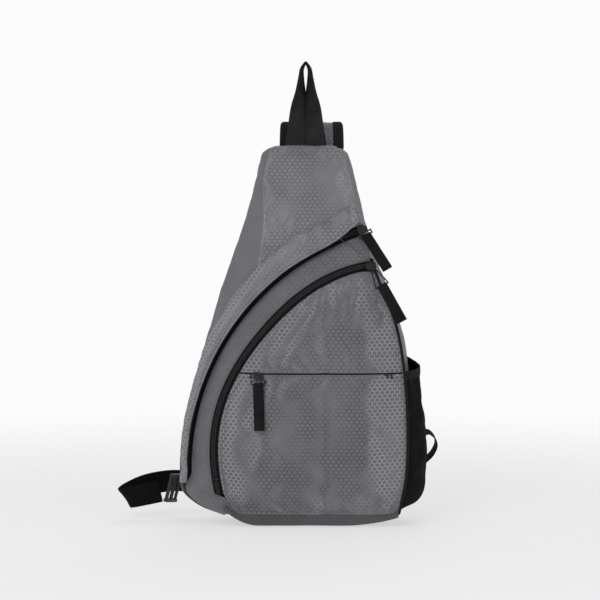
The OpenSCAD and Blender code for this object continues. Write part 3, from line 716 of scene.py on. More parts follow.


# One grey ripstop in copies of different brightness. The upper copy, on the upper panel, the storm flap and
# the strap's face, is painted light: it is lighter than the side copy of the same cloth.
SHELL = ripstop("shell_ripstop", 0.162)
SHELL_TOP_LIT = ripstop("shell_ripstop_upper_lit", 0.215, line_dark=0.3, line_painted_glint=2.0, painted_glint_strength=0.9)
SHELL_BAND = ripstop("shell_ripstop_band", 0.152, line_dark=0.45, line_painted_glint=1.7, painted_glint_strength=0.7)
SHELL_SIDE = ripstop("shell_ripstop_side", 0.178, line_dark=0.45, line_painted_glint=1.5, painted_glint_strength=0.5)
SHELL_BASE = ripstop("shell_ripstop_base", 0.088, line_dark=0.7, line_painted_glint=1.25, painted_glint_strength=0.5)
WEB = webbing("black_webbing", 0.005)
LOOP_WEB = webbing("loop_webbing", 0.026, pitch=1.3, chevron=2.9)
PULL_WEB = webbing("pull_webbing", 0.012, pitch=1.1, chevron=1.9)
BINDING = grosgrain("binding_tape", 0.016)
MESH_POCKET = open_mesh("pocket_mesh", 0.009, 2.2, hole=0.36, depth=0.35)
BACK_MESH = open_mesh("spacer_mesh", 0.04, 3.4, hole=0.3, depth=0.7)
LINING = lining_cloth("lining", 0.03)
TAPE = grosgrain("zip_tape_weave", 0.013, rib=0.7)
COIL = moulded("zip_coil_nylon", 0.02, rough=0.34)
METAL = painted_metal("zip_metal", 0.035)
BUCKLE = moulded("buckle_nylon", 0.014)
FOAM = foam_cells("foam", 0.55)
THREAD_GREY = thread_material("grey_thread", 0.13)
THREAD_BLACK = thread_material("black_thread", 0.02)


# ---------- body panels ----------
ROLL = (2.8, 2.0)       # how deep a sewn edge turns in, and over what width
SOFT_ROLL = (1.0, 2.6)
CREASE = (0.25, 3.0)    # a fold in one piece of cloth, not a seam


def sewn(name, g, mat, node, cloth, seed, rolls, rows, uv="front", thick=1.3, **wear):
    """A shell panel from its frame: draped with the cloth's settings, dressed, and given its thickness."""
    g = drape(g, border(g), **cloth)
    g = dress(g, seed, rolls, rows, **wear)
    sheet_piece(name, g, thick, mat, "shell_fabric", [node], uv=uv)
    return g


def upper_panel():
    """From the top seam down to the main zip, between the left crease and the right edge."""
    t = fine_ends(50)[::-1]
    zip_side = on_main(lerp(CREASE_A, 107.0, t), EDGE, MAIN_Y - LIP)
    zip_corner_z = on_main(108.2, EDGE)[..., 2]
    lap = np.array([0.5, -0.5, 0])

    def straight(f):
        left = left_edge([CREASE_S * f])[0] - lap * [1, 0.2, 0]
        right = right_edge(np.array(lerp(427.0, zip_corner_z, f))) + lap
        row = lerp(left, right, t[:, None])
        row[:, 1] -= 6 * np.sin(np.pi * t) * math.sin(math.radians(90 * f + 80 * f * f))
        return row
    last = straight(1.0)
    rows = [straight(f) + (zip_side - last) * f * f for f in fine_ends(54)]
    top_rows = ((SEAM_Y, -3, 31), (37, -0.6, 33.5), (31, 0, 35), (27.5, -0.8, 36))
    caps = [xyz(lerp(-w, w, t), y, BODY_TOP + dz) for y, dz, w in top_rows]
    return sewn("upper_panel", np.stack(caps + rows), SHELL_TOP_LIT, "upper_front_panel",
                dict(pressure=0.8, slack=0.012, cap=3.5), 3,
                {"bottom": ROLL, "left": CREASE, "right": (0.8, 2.5)}, [("bottom", 7)], crumple=0.8, size=48)


def left_side():
    """From the back seam round to the crease, the main zip and the lower corner."""
    s = np.linspace(0, 1, 150)
    front = left_edge(s) + (1 - ease((s - 0.34) / 0.05))[:, None] * [2.2, 0.5, 0]
    z = front[:, 2]
    tuck = np.where(z < 60, lerp(0.88, 1, (z - 8) / 52), 1)
    side = xyz(-half_w(z) * tuck, profile(SIDE_Y, z), z)
    seam = xyz(-(half_w(z) - 9) * tuck, SEAM_Y, z)
    g = spline(np.stack([seam, side, front]), fine_ends(26))
    beside_zip = np.where(s < CREASE_S, 0.25, 1.8)
    return sewn("left_side_panel", g, SHELL_SIDE, "left_gusset", dict(pressure=0.6, slack=0.012, cap=2.5), 11,
                {"top": SOFT_ROLL, "bottom": (beside_zip, 3.0)}, [("top", 5)], uv="top", crumple=0.7, size=40)


def right_side():
    """From the back seam round to the piping at the right front edge."""
    z = lerp(427.0, 14.0, fine_ends(130, 0.3))
    return sewn("right_side_panel", side_face(z, fine_ends(24)[::-1]), SHELL_SIDE, "right_gusset",
                dict(pressure=0.5, slack=0.01, cap=2.0), 17, {"top": (0.3, 2.0), "bottom": SOFT_ROLL},
                [("bottom", 5)], uv="top", crumple=0.5, size=36)


def base_panel():
    """Under the bag from its front lip to the back seam, turned up towards both corners."""
    section = [[FRONT_Y - 1.2, 15.5], [FRONT_Y - 2.6, 12], [FRONT_Y - 3.2, 7], [FRONT_Y, 1.6],
               [FRONT_Y + 9, 0.2], [BACK_Y - 20, 0.2], [BACK_Y - 12, 1], [SEAM_Y + 1, 7]]
    x = lerp(104.6, -91.0, fine_ends(70))
    rows = spline(section, np.linspace(0, 1, 34))
    rise = np.where(x > 45, 9 * ((x - 45) / 60) ** 2, np.where(x < -52, 9 * ((-52 - x) / 28) ** 2, 0))
    at_lip = ease((rows[:, 1:2] - 6) / 8) * (rows[:, :1] < 0)
    share = lerp(1.0, np.where(x > 0, -0.3, 0.2)[None, :], at_lip)
    g = xyz(x[None, :], rows[:, :1], np.maximum(rows[:, 1:2], 0.2) + rise[None, :] * share)
    g = dress(g, 23, {"bottom": SOFT_ROLL}, [("top", 7)], crumple=0.3, pucker=0.2, size=30)
    g[..., 2] = np.maximum(g[..., 2], 0.0)
    sheet_piece("base_panel", g, 1.2, SHELL_BASE, "shell_fabric", ["bottom_panel"], uv="base")
    return g


def skin_depth(points, grids):
    """Depth of the forward-facing skin behind each point, averaged over the skin within reach."""
    reach = 4.0
    skin = np.vstack([g[grid_normals(g)[..., 1] < 0.35] for g in grids])
    gap = np.linalg.norm(points[:, None, ::2] - skin[None, :, ::2], axis=2)
    share = np.exp(-(gap / reach) ** 2) + 1e-12 * np.exp(-gap / 30)
    return (share @ skin[:, 1]) / share.sum(axis=1)


def storm_flap(skins):
    """Cloth folded over the main zip: sewn to the skin along its top and upper end, free along the zip."""
    start, end, low_end = 105.8, 182.8, 179.5   # degrees round the main zip's arc
    over_slider = 12.9                          # how far it stands ahead of the zip's plane
    a = np.linspace(start, end, 140)
    lift = 12.6 * np.exp(-((a - start) / 6) ** 2) - 3.4 + 2.4 * ease((a - low_end) / 3.3)
    width = np.interp(a, [106, 120, 136, 152, 166, 179], [23, 29, 25, 18, 13, 12])
    freed = ease((a - start) / 3.6)
    rails = []
    for f, rise in ((0.0, 0.0), (0.28, 0.6), (0.55, 0.92), (0.8, 1.0), (1.0, 0.98)):
        rail = on_main(a, lift + width * (1 - f))
        outline = np.maximum(half_w(rail[:, 2]), -on_main(a, EDGE + TURNED)[:, 0]) + 0.6
        rail[:, 0] = np.clip(rail[:, 0], -outline, right_edge(rail[:, 2])[:, 0] - 0.4)
        skin = skin_depth(rail, skins) - 0.9
        proud = lerp(skin, MAIN_Y - over_slider, rise)
        rail[:, 1] = lerp(skin, proud, freed)
        rails.append(rail)
    g = spline(np.stack(rails), fine_ends(22))
    g = drape(g, border(g, ("top", "left", "right"), 2.5), pressure=0.25, slack=0.012, cap=1.6)
    g = dress(g, 29, {"top": (0.9, 2.2), "bottom": (0.7, 1.6)}, [("top", 3.2), ("bottom", 4)],
              crumple=0.4, size=30, pucker=0.12)
    sheet_piece("storm_flap_cloth", g, 1.3, SHELL_TOP_LIT, "shell_fabric", ["storm_flap"])
    return g


def crescent_panel():
    """The band between the two zips, with the short seam at its right end."""
    n = np.linspace(0, 1, 118)
    low_outer = [[-134.6, MAIN_Y - 2, 50.5], [-138, MAIN_Y - 2, 38], [-122, MAIN_Y + 2, 22],
                 [-97, MAIN_Y + 6, 11]]
    low_z = np.array([30.0, 26.0, 20.5, 13.0])
    low_inner = xyz(pocket_left_x(low_z) - 0.4, FRONT_Y - LIP, low_z)
    at_right = [right_edge(z) + [0.4, -0.6, 0] for z in (np.array(328.0), np.array(296.0))]
    outer = np.vstack([at_right[:1], on_main(lerp(108.6, MAIN_A1, n), -EDGE, MAIN_Y - LIP), low_outer])
    inner = np.vstack([at_right[1:], on_front(lerp(102.6, FRONT_END, n), EDGE, FRONT_Y - LIP), low_inner])
    middle = (outer + inner) / 2 - [0, 1.6, 0]
    g = spline(np.stack([outer, middle, inner]), fine_ends(18))
    g = sewn("crescent_panel", g, SHELL_BAND, "mid_panel", dict(pressure=0.6, slack=0.012, cap=2.4), 37,
             {"top": ROLL, "bottom": ROLL}, [("top", 4.5), ("bottom", 4.5)], thick=1.2,
             crumple=0.6, size=30, pucker=0.12)
    seam = lerp(np.array([35.0, 0, 326.0]), np.array([64.0, 0, 304.5]), np.linspace(0, 1, 24)[:, None])
    skin = g.reshape(-1, 3)
    seam[:, 1] = [skin[np.argmin(np.linalg.norm(skin[:, ::2] - p[::2], axis=1)), 1] for p in seam]
    seam[:, 1] = np.polyval(np.polyfit(seam[:, 0], seam[:, 1], 3), seam[:, 0])
    cord("crescent_end_seam", seam, 0.55, SHELL_BASE, "shell_fabric")
    return g


def pocket_panels():
    """The front pocket's face: the upper piece's hem laps over the small pocket's zip."""
    u = fine_ends(64)[::-1]
    made = []
    for name, node, z0, z1, rows, seed, out0, out1 in (
            ("pocket_front_upper", "front_upper_panel", 287.0, POCKET_ZIP_Z + 3.4, 46, 41, 0.0, 0.7),
            ("pocket_front_lower", "front_lower_panel", POCKET_ZIP_Z + 2.2, 12.8, 58, 47, 0.2, 0.6)):
        z = lerp(z0, z1, fine_ends(rows))
        out = lerp(out0, out1, np.linspace(0, 1, rows + 1))
        g = np.stack([pocket_face(np.full_like(u, h), u, o) for h, o in zip(z, out)])
        g = drape(g, border(g), pressure=0.9, slack=0.014, cap=2.6)
        g[..., 1] += 1.8 * np.exp(-((g[..., 0] - 22) / 9) ** 2) * np.clip(edge_distances(g)["top"] / 30, 0, 1)
        g[..., 1] += 1.7 * np.exp(-((g[..., 2] - POCKET_ZIP_Z) / 9) ** 2) * ease((g[..., 0] - 52) / 30)
        upper = node == "front_upper_panel"
        hem, seam = (0.5, 1.6), (0.7, 2.2)
        top, bottom = (ROLL, hem) if upper else (hem, seam)
        rolls = {"left": seam, "right": (1.8, 3.0), "top": top, "bottom": bottom}
        rows_sewn = [("right", 4.5)] + ([("bottom", 3), ("bottom", 22, 0.9)] if upper else [("bottom", 4)])
        g = dress(g, seed, rolls, rows_sewn, crumple=0.6, pucker=0.14, size=44)
        sheet_piece(name, g, 0.5, SHELL, "shell_fabric", [node])
        made.append(g)
    return made


SHARES = (0.34, 0.66)   # where the back's two upright channels are, across it
LEVELS = (96, 190, 284)  # and the heights of the channels that cross it
SWAY, ARCH = 0.05, 10    # how far the upright channels sway and the crossing ones arch


def back_pad():
    """The padded back: spacer mesh quilted into cushions by sewn channels."""
    z = lerp(424.0, 9.0, fine_ends(92, 0.3))
    u = fine_ends(56, 0.3)
    half = half_w(z) - 9
    left = -half * np.where(z < 40, 0.93, 1)
    g = xyz(lerp(left[:, None], half[:, None], u[None, :]), BACK_Y - 3.2, z[:, None])
    g[..., 2] += 3.0 * np.cos((u[None, :] - 0.5) * np.pi) * (z[:, None] > 420)
    rim = np.minimum.reduce(list(edge_distances(g).values()))
    sway = SWAY * np.sin(z[:, None] / 70)
    arch = ARCH * np.cos((u[None, :] - 0.5) * 5)
    gaps = [np.abs(u[None, :] - share - sway) * 2 * half[:, None] for share in SHARES]
    gaps += [np.abs(g[..., 2] - height - arch) for height in LEVELS]
    channel = np.minimum.reduce(gaps)
    nearest = np.minimum(rim, channel)
    g[..., 1] += 3.0 * (1 - np.exp(-nearest / 7))
    g = drape(g, (rim < 2) | (channel < 2.4), pressure=6.0, slack=0.04, cap=1.6, frames=18)
    g[..., 1] -= 2.4 * np.clip(1 - rim / 4, 0, 1) ** 2
    g[..., 1] = np.minimum(g[..., 1], BACK_Y + 0.4)
    sheet_piece("back_pad_mesh", g, 1.2, BACK_MESH, "back_mesh", ["back_mesh_panel"])
    upright = list(zip(sway[6:-6, 0], g[6:-6]))
    crossing = list(zip(arch[0, 2:-2], np.swapaxes(g, 0, 1)[2:-2, ::-1]))
    paths = [[[np.interp(share + off, u, row[:, k]) for k in range(3)] for off, row in upright]
             for share in SHARES]
    paths += [[[np.interp(height + off, col[:, 2], col[:, k]) for k in range(3)] for off, col in crossing]
              for height in LEVELS]
    lines = [(np.array(path) + [0, 0.5, 0], np.tile([0, 1.0, 0], (len(path), 1))) for path in paths]
    stitches("back_channel_stitches", lines, THREAD_GREY, "back_mesh")


def back_foam():
    """The back's foam: the CAD pad remeshed, drawn in a little, then swollen by a cloth pass."""
    voxel, shrink, forward, pressure, cap, frames = 3.2, 0.6, 3.2, 3.0, 0.3, 10
    obj = bpy.data.objects.new("back_foam", frame["nodes"]["back_foam_pad"].data.copy())
    obj.data.materials.clear()
    SCENE.collection.objects.link(obj)
    mod = obj.modifiers.new("voxels", "REMESH")
    mod.mode = "VOXEL"
    mod.voxel_size = voxel * MM
    mesh = baked(obj)
    start = vertex_data(mesh) - vertex_data(mesh, "normal") * shrink * MM - np.array([0, forward, 0]) * MM
    mesh.vertices.foreach_set("co", start.ravel())
    mesh.update()
    found = settled(obj, frames, uniform_pressure_force=pressure)
    start = start + limited(found - start, cap * MM)
    mesh.vertices.foreach_set("co", start.astype(np.float32).ravel())
    mesh.update()
    mesh.polygons.foreach_set("use_smooth", [True] * len(mesh.polygons))
    add_piece(obj, FOAM, "foam", nodes=["back_foam_pad"])


def inner_sheet(name, node, seed, y_sag=0.5, ahead=0.0):
    """A loose inner wall of lining over the face of a flat CAD node, in rings inside its outline."""
    co = node_points(node)
    hull = co[:, [0, 2]]
    centre = hull.mean(0)
    order = np.argsort(np.arctan2(hull[:, 1] - centre[1], hull[:, 0] - centre[0]))
    outline = np.vstack([hull[order], hull[order[:1]]])
    run = np.concatenate([[0], np.cumsum(np.linalg.norm(np.diff(outline, axis=0), axis=1))])
    at = np.linspace(0, run[-1], 121)[:-1]
    arm = np.stack([np.interp(at, run, outline[:, k]) for k in (0, 1)]) - centre[:, None]
    arm *= 1 - 0.5 / np.linalg.norm(arm, axis=0)
    rings = np.linspace(0.02, 1, 22)
    x = centre[0] + rings[:, None] * arm[0]
    z = centre[1] + rings[:, None] * arm[1]
    y = np.full_like(x, co[:, 1].mean() - ahead)
    g = xyz(x, y, z)
    g = np.concatenate([g, g[:, :1]], axis=1)[:, ::-1]
    g[..., 1] += y_sag * noise_field(g, 30.0, seed) * (1 - rings[:, None] ** 4)
    sheet_piece(name, g, 0.5, LINING, "lining", [node], subdivide=0)


# ---------- zips ----------
def zip_teeth(name, centre_line, out, node):
    """A nylon coil: two rows of wire turns that mesh along the middle of the zip."""
    pitch, reach = 1.3, 2.3
    _, path, out = by_length(centre_line, np.broadcast_to(out, centre_line.shape), step=pitch)
    tangent = unit(np.gradient(path, axis=0))
    across = unit(np.cross(tangent, out))
    rows = []
    for side in (-1, 1):
        shift = tangent * pitch * 0.25 * side
        centres = path + shift + across * side * reach * 0.52 + out * 1.1
        lean = unit(across + tangent * 0.16 * side)
        rows.append(capsules(centres, lean, out, reach * 0.5, 0.5, flat=1.25))
    add_piece(make_mesh(name, *merged(rows)), COIL, "zip_coil", nodes=[node])


def zip_tapes(name, centre_line, out, node):
    """The woven tapes on both sides of the coil, each with a thicker cord edge beside the teeth."""
    drop, cord_at = 0.6, 3.2
    w = np.array([0.25, 0.9, 1.7, 2.6, cord_at, 3.8, 4.8, 6.0, 7.2])
    rise = 0.35 * np.exp(-((w - cord_at) / 0.5) ** 2) - drop
    _, path = by_length(centre_line, step=2.4)
    tangent = unit(np.gradient(path, axis=0))
    across = unit(np.cross(tangent, np.broadcast_to(out, path.shape)))
    for side, label in ((-1, "inner"), (1, "outer")):
        g = path[None] + across[None] * side * w[:, None, None] + out * rise[:, None, None]
        sheet_piece(f"{name}_{label}", facing(g, (4, 20), out), 0.5, TAPE, "zip_tape", [node])


def all_zips():
    """Teeth and tapes of the main, the front and the small pocket's zip."""
    front = np.array([0, -1.0, 0])
    for label, line in (("main", on_main(np.linspace(MAIN_A0 - 0.5, MAIN_A1 + 0.4, 140))),
                        ("front", on_front(np.linspace(FRONT_A0 - 0.9, FRONT_END, 140)))):
        zip_teeth(label + "_zip_teeth", line, front, label + "_zip_coil")
        zip_tapes(label + "_zip_tape_cloth", line, front, label + "_zip_tape")
    low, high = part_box("pocket_zip_tape")
    r = 420.0       # the pocket's zip curves forward with the pocket's face
    c = np.array([(low.x + high.x) / 2 / MM, FRONT_Y - POCKET_BULGE - 0.5 + r])
    a = math.asin(min((high.x - low.x) / 2 / MM / r, 1)) - 0.004
    ang = np.linspace(-a, a, 60)
    line = xyz(c[0] + r * np.sin(ang), c[1] - r * np.cos(ang), POCKET_ZIP_Z)
    radial = xyz(np.sin(ang), -np.cos(ang), 0 * ang)
    zip_teeth("pocket_zip_teeth", line - radial * 0.35, radial, "pocket_zip_coil")
    g = np.stack([line + [0, 0, h] - radial * 0.8 for h in (4.7, 3.0, 1.5, 0.0, -1.5, -3.0, -4.7)])[:, ::-1]
    sheet_piece("pocket_zip_tape_cloth", g, 0.5, TAPE, "zip_tape", ["pocket_zip_tape"])


# ---------- zip pulls ----------
def pull_tab(label):
    """Webbing folded round the ring's bar, sewn together below it and cut square at the end."""
    joint, node, body = JOINTS[label + "_tab_lift"], label + "_pull_tab", label + "_tab"
    name = body + "_webbing"
    bar = np.array(joint["pos_m"]) / MM
    width_dir = unit(joint["axis"])
    co = node_points(node)
    down = (co - bar).mean(0)
    down = unit(down - width_dir * down.dot(width_dir))
    face = np.cross(width_dir, down)
    face = face if face[1] < 0 else -face
    length = ((co - bar) @ down).max()
    t = np.linspace(0, 1, 26)
    front = [[length * s, 0.72 + 0.35 * math.exp(-s * 16)] for s in t[::-1]]
    wrap = [[1.45 * math.sin(q), 1.45 * math.cos(q)] for q in np.linspace(0, -math.pi, 9)]
    back = [[length * s, -0.72 - 0.35 * math.exp(-s * 16)] for s in t]
    line = np.array(front[:-1] + wrap + back[1:])
    path = bar + line[:, :1] * down + line[:, 1:] * face
    across = np.tile(width_dir, (len(path), 1))
    ribbon(name, path, across, 11.6, 1.1, PULL_WEB, "pull_webbing", [node], step=0.9, body=body)
    rows = []
    for d0 in (5.0, 9.5, length - 3.5):
        points = bar + down * d0 + face * 1.32 + width_dir * np.linspace(-4.6, 4.6, 12)[:, None]
        rows.append((points, np.tile(face, (12, 1))))
    stitches(name + "_stitches", rows, THREAD_BLACK, "pull_webbing", pitch=1.7, length=1.2, radius=0.2,
             body=body)


def hard_parts():
    """CAD pieces that keep their shape: a bevel catches the light on their edges."""
    for node, obj in frame["nodes"].items():
        if node.endswith(("_slider", "_ring")) or node in ("ladder_lock", "zip_end_stops"):
            plastic = node == "ladder_lock"
            obj.data.materials.clear()
            obj.data.materials.append(BUCKLE if plastic else METAL)
            bevel = obj.modifiers.new("edges", "BEVEL")
            bevel.width = (0.9 if plastic else 0.3) * MM
            bevel.segments = 3
            bevel.limit_method = "ANGLE"
            bevel.angle_limit = math.radians(40)


# ---------- trims and the side pocket ----------
def piping():
    """A cord in its binding along the right front edge, tucked in at the lower corner."""
    z = np.linspace(300, 15, 120)
    line = right_edge(z, 1.7) + [0, -1.0, 0]
    tucked = right_edge(np.array(11.0), -3) + [0, 3, 0]
    cord("edge_piping_cord", np.vstack([line, tucked]), 1.5, BINDING, "binding", ["edge_piping"])


def mesh_surface(v, s):
    """The mesh pocket: v from the front edge to the back seam, s down from its mouth."""
    mouth = 173 + 17 * v**2.2
    z = lerp(mouth, 13.0, s)
    side = xyz(side_w(z), profile(SIDE_Y, z), z)
    rails = np.stack([xyz(half_w(z) - 9, SEAM_Y, z), side, right_edge(z, -0.6)])
    p = spline(rails, [1 - lerp(0.06, 0.97, v)])[0]
    gape = 9 * np.sin(np.pi * v) * np.exp(-4 * s)
    sag = 7.5 * np.sin(np.pi * v) * np.exp(-((z - 32) / 19) ** 2)
    stand = (1.3 + 3.4 * np.sin(np.pi * v) ** 0.6 + gape + sag) * (1 - 0.75 * ease((s - 0.93) / 0.07))
    return p + xyz(stand, stand * 0.35 * (2 * v - 1), 0 * stand)


def side_pocket():
    """The mesh pocket on the right side, with pleats and a gathered hem at its mouth."""
    s = fine_ends(60, 0.4)
    v = fine_ends(26, 0.4)
    g = np.stack([mesh_surface(k, s) for k in v])
    pleat = 0.8 * np.sin(v * 23)[:, None] * np.exp(-2.2 * s)[None, :] + 0.6 * noise_field(g, 26.0, 53)
    pleat *= np.minimum(1, edge_distances(g)["top"] / 8) * np.minimum(1, edge_distances(g)["bottom"] / 8)
    g = g + grid_normals(g) * pleat[..., None]
    g = drape(g, border(g), pressure=0.5, slack=0.02, cap=2.0)
    sheet_piece("side_pocket_mesh", g, 0.7, MESH_POCKET, "pocket_mesh", ["side_mesh_pocket"], uv="top")
    lips = np.stack([mesh_surface(k, np.linspace(-0.012, 0.05, 9)) for k in v])
    gather = 0.35 * np.sin(v * 95)[:, None] * np.ones(9)[None, :]
    rim = 1.2 + 0.5 * np.sin(np.linspace(0, np.pi, 9))[None, :]
    lips = lips + grid_normals(lips) * (rim + gather)[..., None]
    sheet_piece("side_pocket_hem", lips, 1.6, BINDING, "binding", ["side_pocket_binding"], uv="top")


# ---------- loops ----------
WIDE_WEB, NARROW_WEB, WEB_THICK = 25, 17, 1.6    # stock webbing


def web(name, points, turned, count, width, node, **ride):
    """Black webbing in a stock width: a smooth path through points, turned as it goes."""
    t = np.linspace(0, 1, count)
    ribbon(name, spline(points, t), unit(spline(turned, t)), width, WEB_THICK, WEB, "webbing", [node], **ride)


def grab_loop():
    """Webbing that leaves the top seam flat, turns on edge on its way up and comes back down."""
    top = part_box("grab_loop")[1].z / MM - 0.8
    centre = [[-12, 0, BODY_TOP - 5], [-12, 0, BODY_TOP + 1.6], [-10.4, 0, 446], [-8.4, 0, 472],
              [-6.0, 0, 490], [-5.2, 0, 506], [-4.3, 0, top - 8], [0, 0, top]]
    turn = [0, 0, 22, 40, 58, 72, 81, 90]
    s = np.linspace(0, 1, 70)
    leg = spline(centre, s)
    twist = np.radians(spline(turn, s))
    back_leg = leg[-2::-1] * [-1, 1, 1]
    back_twist = twist[-2::-1]
    path = np.vstack([leg, back_leg]) + [1, BACK_Y - 14, 0]
    across = np.vstack([xyz(np.cos(twist), np.sin(twist), 0),
                        xyz(-np.cos(back_twist), np.sin(back_twist), 0)])
    ribbon("grab_loop_webbing", path, across, 23.5, 1.7, LOOP_WEB, "webbing", ["grab_loop"], step=1.6,
           blend=("bag", "grab_loop", (1, 36, BODY_TOP - 1), (1, 36, BODY_TOP + 5)))


def side_loop():
    """The small loop at the lower right of the back."""
    path = [[131, 0, 93], [135, 0, 95], [143, 0, 99], [150.5, 0, 93], [152.5, 0, 84], [148, 0, 74],
            [141, 0, 67], [134.5, 0, 61], [131, 0, 60]]
    path = spline(path, np.linspace(0, 1, 50)) + [0, BACK_Y - 2, 0]
    across = np.tile(unit([-0.1, 1, 0.3]), (50, 1))
    ribbon("side_loop_webbing", path, across, NARROW_WEB, WEB_THICK, WEB, "webbing", ["side_loop"],
           step=1.4, blend=("bag", "side_loop", (132, 48, 78), (138, 48, 78)))


def webbing_runs():
    """The strap's webbing down to the corner, the folded tail through the lock, and the corner web."""
    e = strap_at(1.0)[0]
    down = [e + [2, -1, 14], e + [-1, 0, -4], [-46, 63, 108], [-66, 61, 76], [-88, 58, 54], [-106, 57, 46],
            [-118, 57.4, 43]]
    turned = [strap_across(1.0)[0], strap_across(1.0)[0], unit([0.84, 0, -0.42]), unit([0.66, 0, -0.72]),
              unit([0.42, 0, -0.9]), unit([0.15, 0, -1]), [0, 0, -1]]
    web("strap_tail_webbing", down, turned, 60, WIDE_WEB, "strap_webbing",
        blend=("bag", "shoulder_strap", (-96, 58, 50), (-34, 66, 128)))
    loop = [[-112, 59, 43], [-136, 55.6, 41], [-160, 52, 41], [-184, 47, 37], [-203, 41, 29],
            [-208, 34, 25], [-203, 28, 25], [-184, 25, 29], [-166, 23.5, 33]]
    turned = [[0, 0, -1], [0, 0, -1], [0.05, 0, -1], [0.2, 0, -1], [0.55, 0, -0.85], [0.62, 0, -0.8],
              [0.55, 0, -0.85], [0.3, 0, -0.96], [0.24, 0, -0.97]]
    web("lock_webbing", loop, turned, 90, WIDE_WEB, "webbing_loop",
        blend=("bag", "lower_webbing", (-114, 58, 43), (-140, 55, 41)))
    corner = [[-143.4, 33, 38], [-141.6, 37, 44], [-137.6, 42, 51], [-132.5, 46.5, 58], [-126, 47, 63]]
    turned = [unit([0.24, 0, 0.97]), unit([0.2, 0.1, 0.97]), unit([0.1, 0.2, 0.97]), unit([0, 0.3, 0.95]),
              unit([0, 0.3, 0.95])]
    web("corner_web", corner, turned, 30, NARROW_WEB, "corner_anchor_web")


# ---------- shoulder strap ----------
STRAP_Y = BACK_Y + 5.6
STRAP_LINE = np.array([[8, -2.2, 404], [8, 1, 441], [8, 11, 455], [8, 24, 446], [9, 27, 412], [10, 22, 362],
                       [9, 17, 304], [2, 14, 246], [-10, 12, 190], [-28, 11, 138]]) + [0, STRAP_Y, 0]
PAD_HALF = 38.0
STRAP_BLEND = ("bag", "shoulder_strap", (8, STRAP_Y + 22, 449), (8, STRAP_Y + 30, 445))


def strap_at(s):
    return spline(STRAP_LINE, s)


def strap_dir(s):
    s = np.atleast_1d(np.asarray(s, float))
    return unit(strap_at(np.minimum(s + 0.01, 1)) - strap_at(np.maximum(s - 0.01, 0)))


def strap_across(s):
    d = strap_dir(s)
    return unit(np.cross(d, unit(np.cross([1, 0, 0], d))))


def strap_out(s):
    """The strap's outward direction, away from the bag where it hangs behind it."""
    return unit(np.cross(strap_across(s), strap_dir(s)))


def strap_pressed(s, least):
    """The strap's end is narrower and flatter where it is sewn down under its patch."""
    return lerp(least, 1.0, ease(np.asarray(s) / 0.08))


def strap_half(s):
    """Half the strap's width: it narrows steadily, and faster at its lower end."""
    end = np.where(s > 0.86, lerp(1, 0.62, ease((s - 0.86) / 0.14)), 1)
    return strap_pressed(s, 0.76) * PAD_HALF * end * lerp(1, 0.86, s)


def strap_grid(s, k, off):
    """Points of a strap layer: s along it, k across it from -1 to 1 and off ahead of its middle."""
    p, a, out, w = strap_at(s), strap_across(s), strap_out(s), strap_half(s)
    off = strap_pressed(s, 0.5)[:, None] * np.broadcast_to(off, (len(s), len(k)))
    return p[:, None] + a[:, None] * (w[:, None] * k[None, :])[..., None] + out[:, None] * off[..., None]


def shoulder_strap():
    """The padded strap: cloth face, foam, mesh backing and bound edges."""
    s = np.linspace(0.004, 0.995, 150)
    k = lerp(-1.0, 1.0, fine_ends(24, 0.5))
    out = strap_out(s)
    middle, outward = (70, 12), strap_out(0.5)[0]
    crown = (1 - k**4)[None, :] * np.ones((len(s), 1))
    face = strap_grid(s, k * 0.93, 3.6 + 0.9 * crown)
    face = drape(face, border(face) | (np.abs(k) > 0.8)[None, :], pressure=2.5, slack=0.015, cap=1.0)
    face = dress(facing(face, middle, outward), 61, {"left": (0.3, 2), "right": (0.3, 2)},
                 [("left", 9), ("right", 9)], crumple=0.3)
    back = facing(strap_grid(s, k * 0.93, -4.3 - 0.5 * crown), middle, -outward)
    for name, g, thick, mat, slot, layer in (
            ("strap_face_cloth", face, 0.9, SHELL_TOP_LIT, "shell_fabric", "face"),
            ("strap_backing_mesh", back, 0.8, BACK_MESH, "back_mesh", "backing")):
        nodes = ["strap_root_" + layer, "strap_pad_" + layer]
        sheet_piece(name, g, thick, mat, slot, nodes, uv="left", blend=STRAP_BLEND)
    ring = np.linspace(0, 2 * np.pi, 25)[:-1]
    across = 0.86 * np.sign(np.cos(ring)) * np.abs(np.cos(ring)) ** 0.35
    height = 2.5 * np.sign(np.sin(ring)) * np.abs(np.sin(ring)) ** 0.6
    p, a = strap_at(s), strap_across(s)
    _, faces = tube(p, np.ones((len(ring), 2)), a, out)
    core = (p[:, None] + a[:, None] * (strap_half(s)[:, None] * across[None, :])[..., None]
            + out[:, None] * (strap_pressed(s, 0.45)[:, None] * height[None, :])[..., None])
    foam = make_mesh("strap_foam_core", core.reshape(-1, 3), faces)
    add_piece(foam, FOAM, "foam", nodes=["strap_root_foam", "strap_pad_foam"], blend=STRAP_BLEND)
    for side, label in ((-1, "left"), (1, "right")):
        strap_binding(s, side, label)


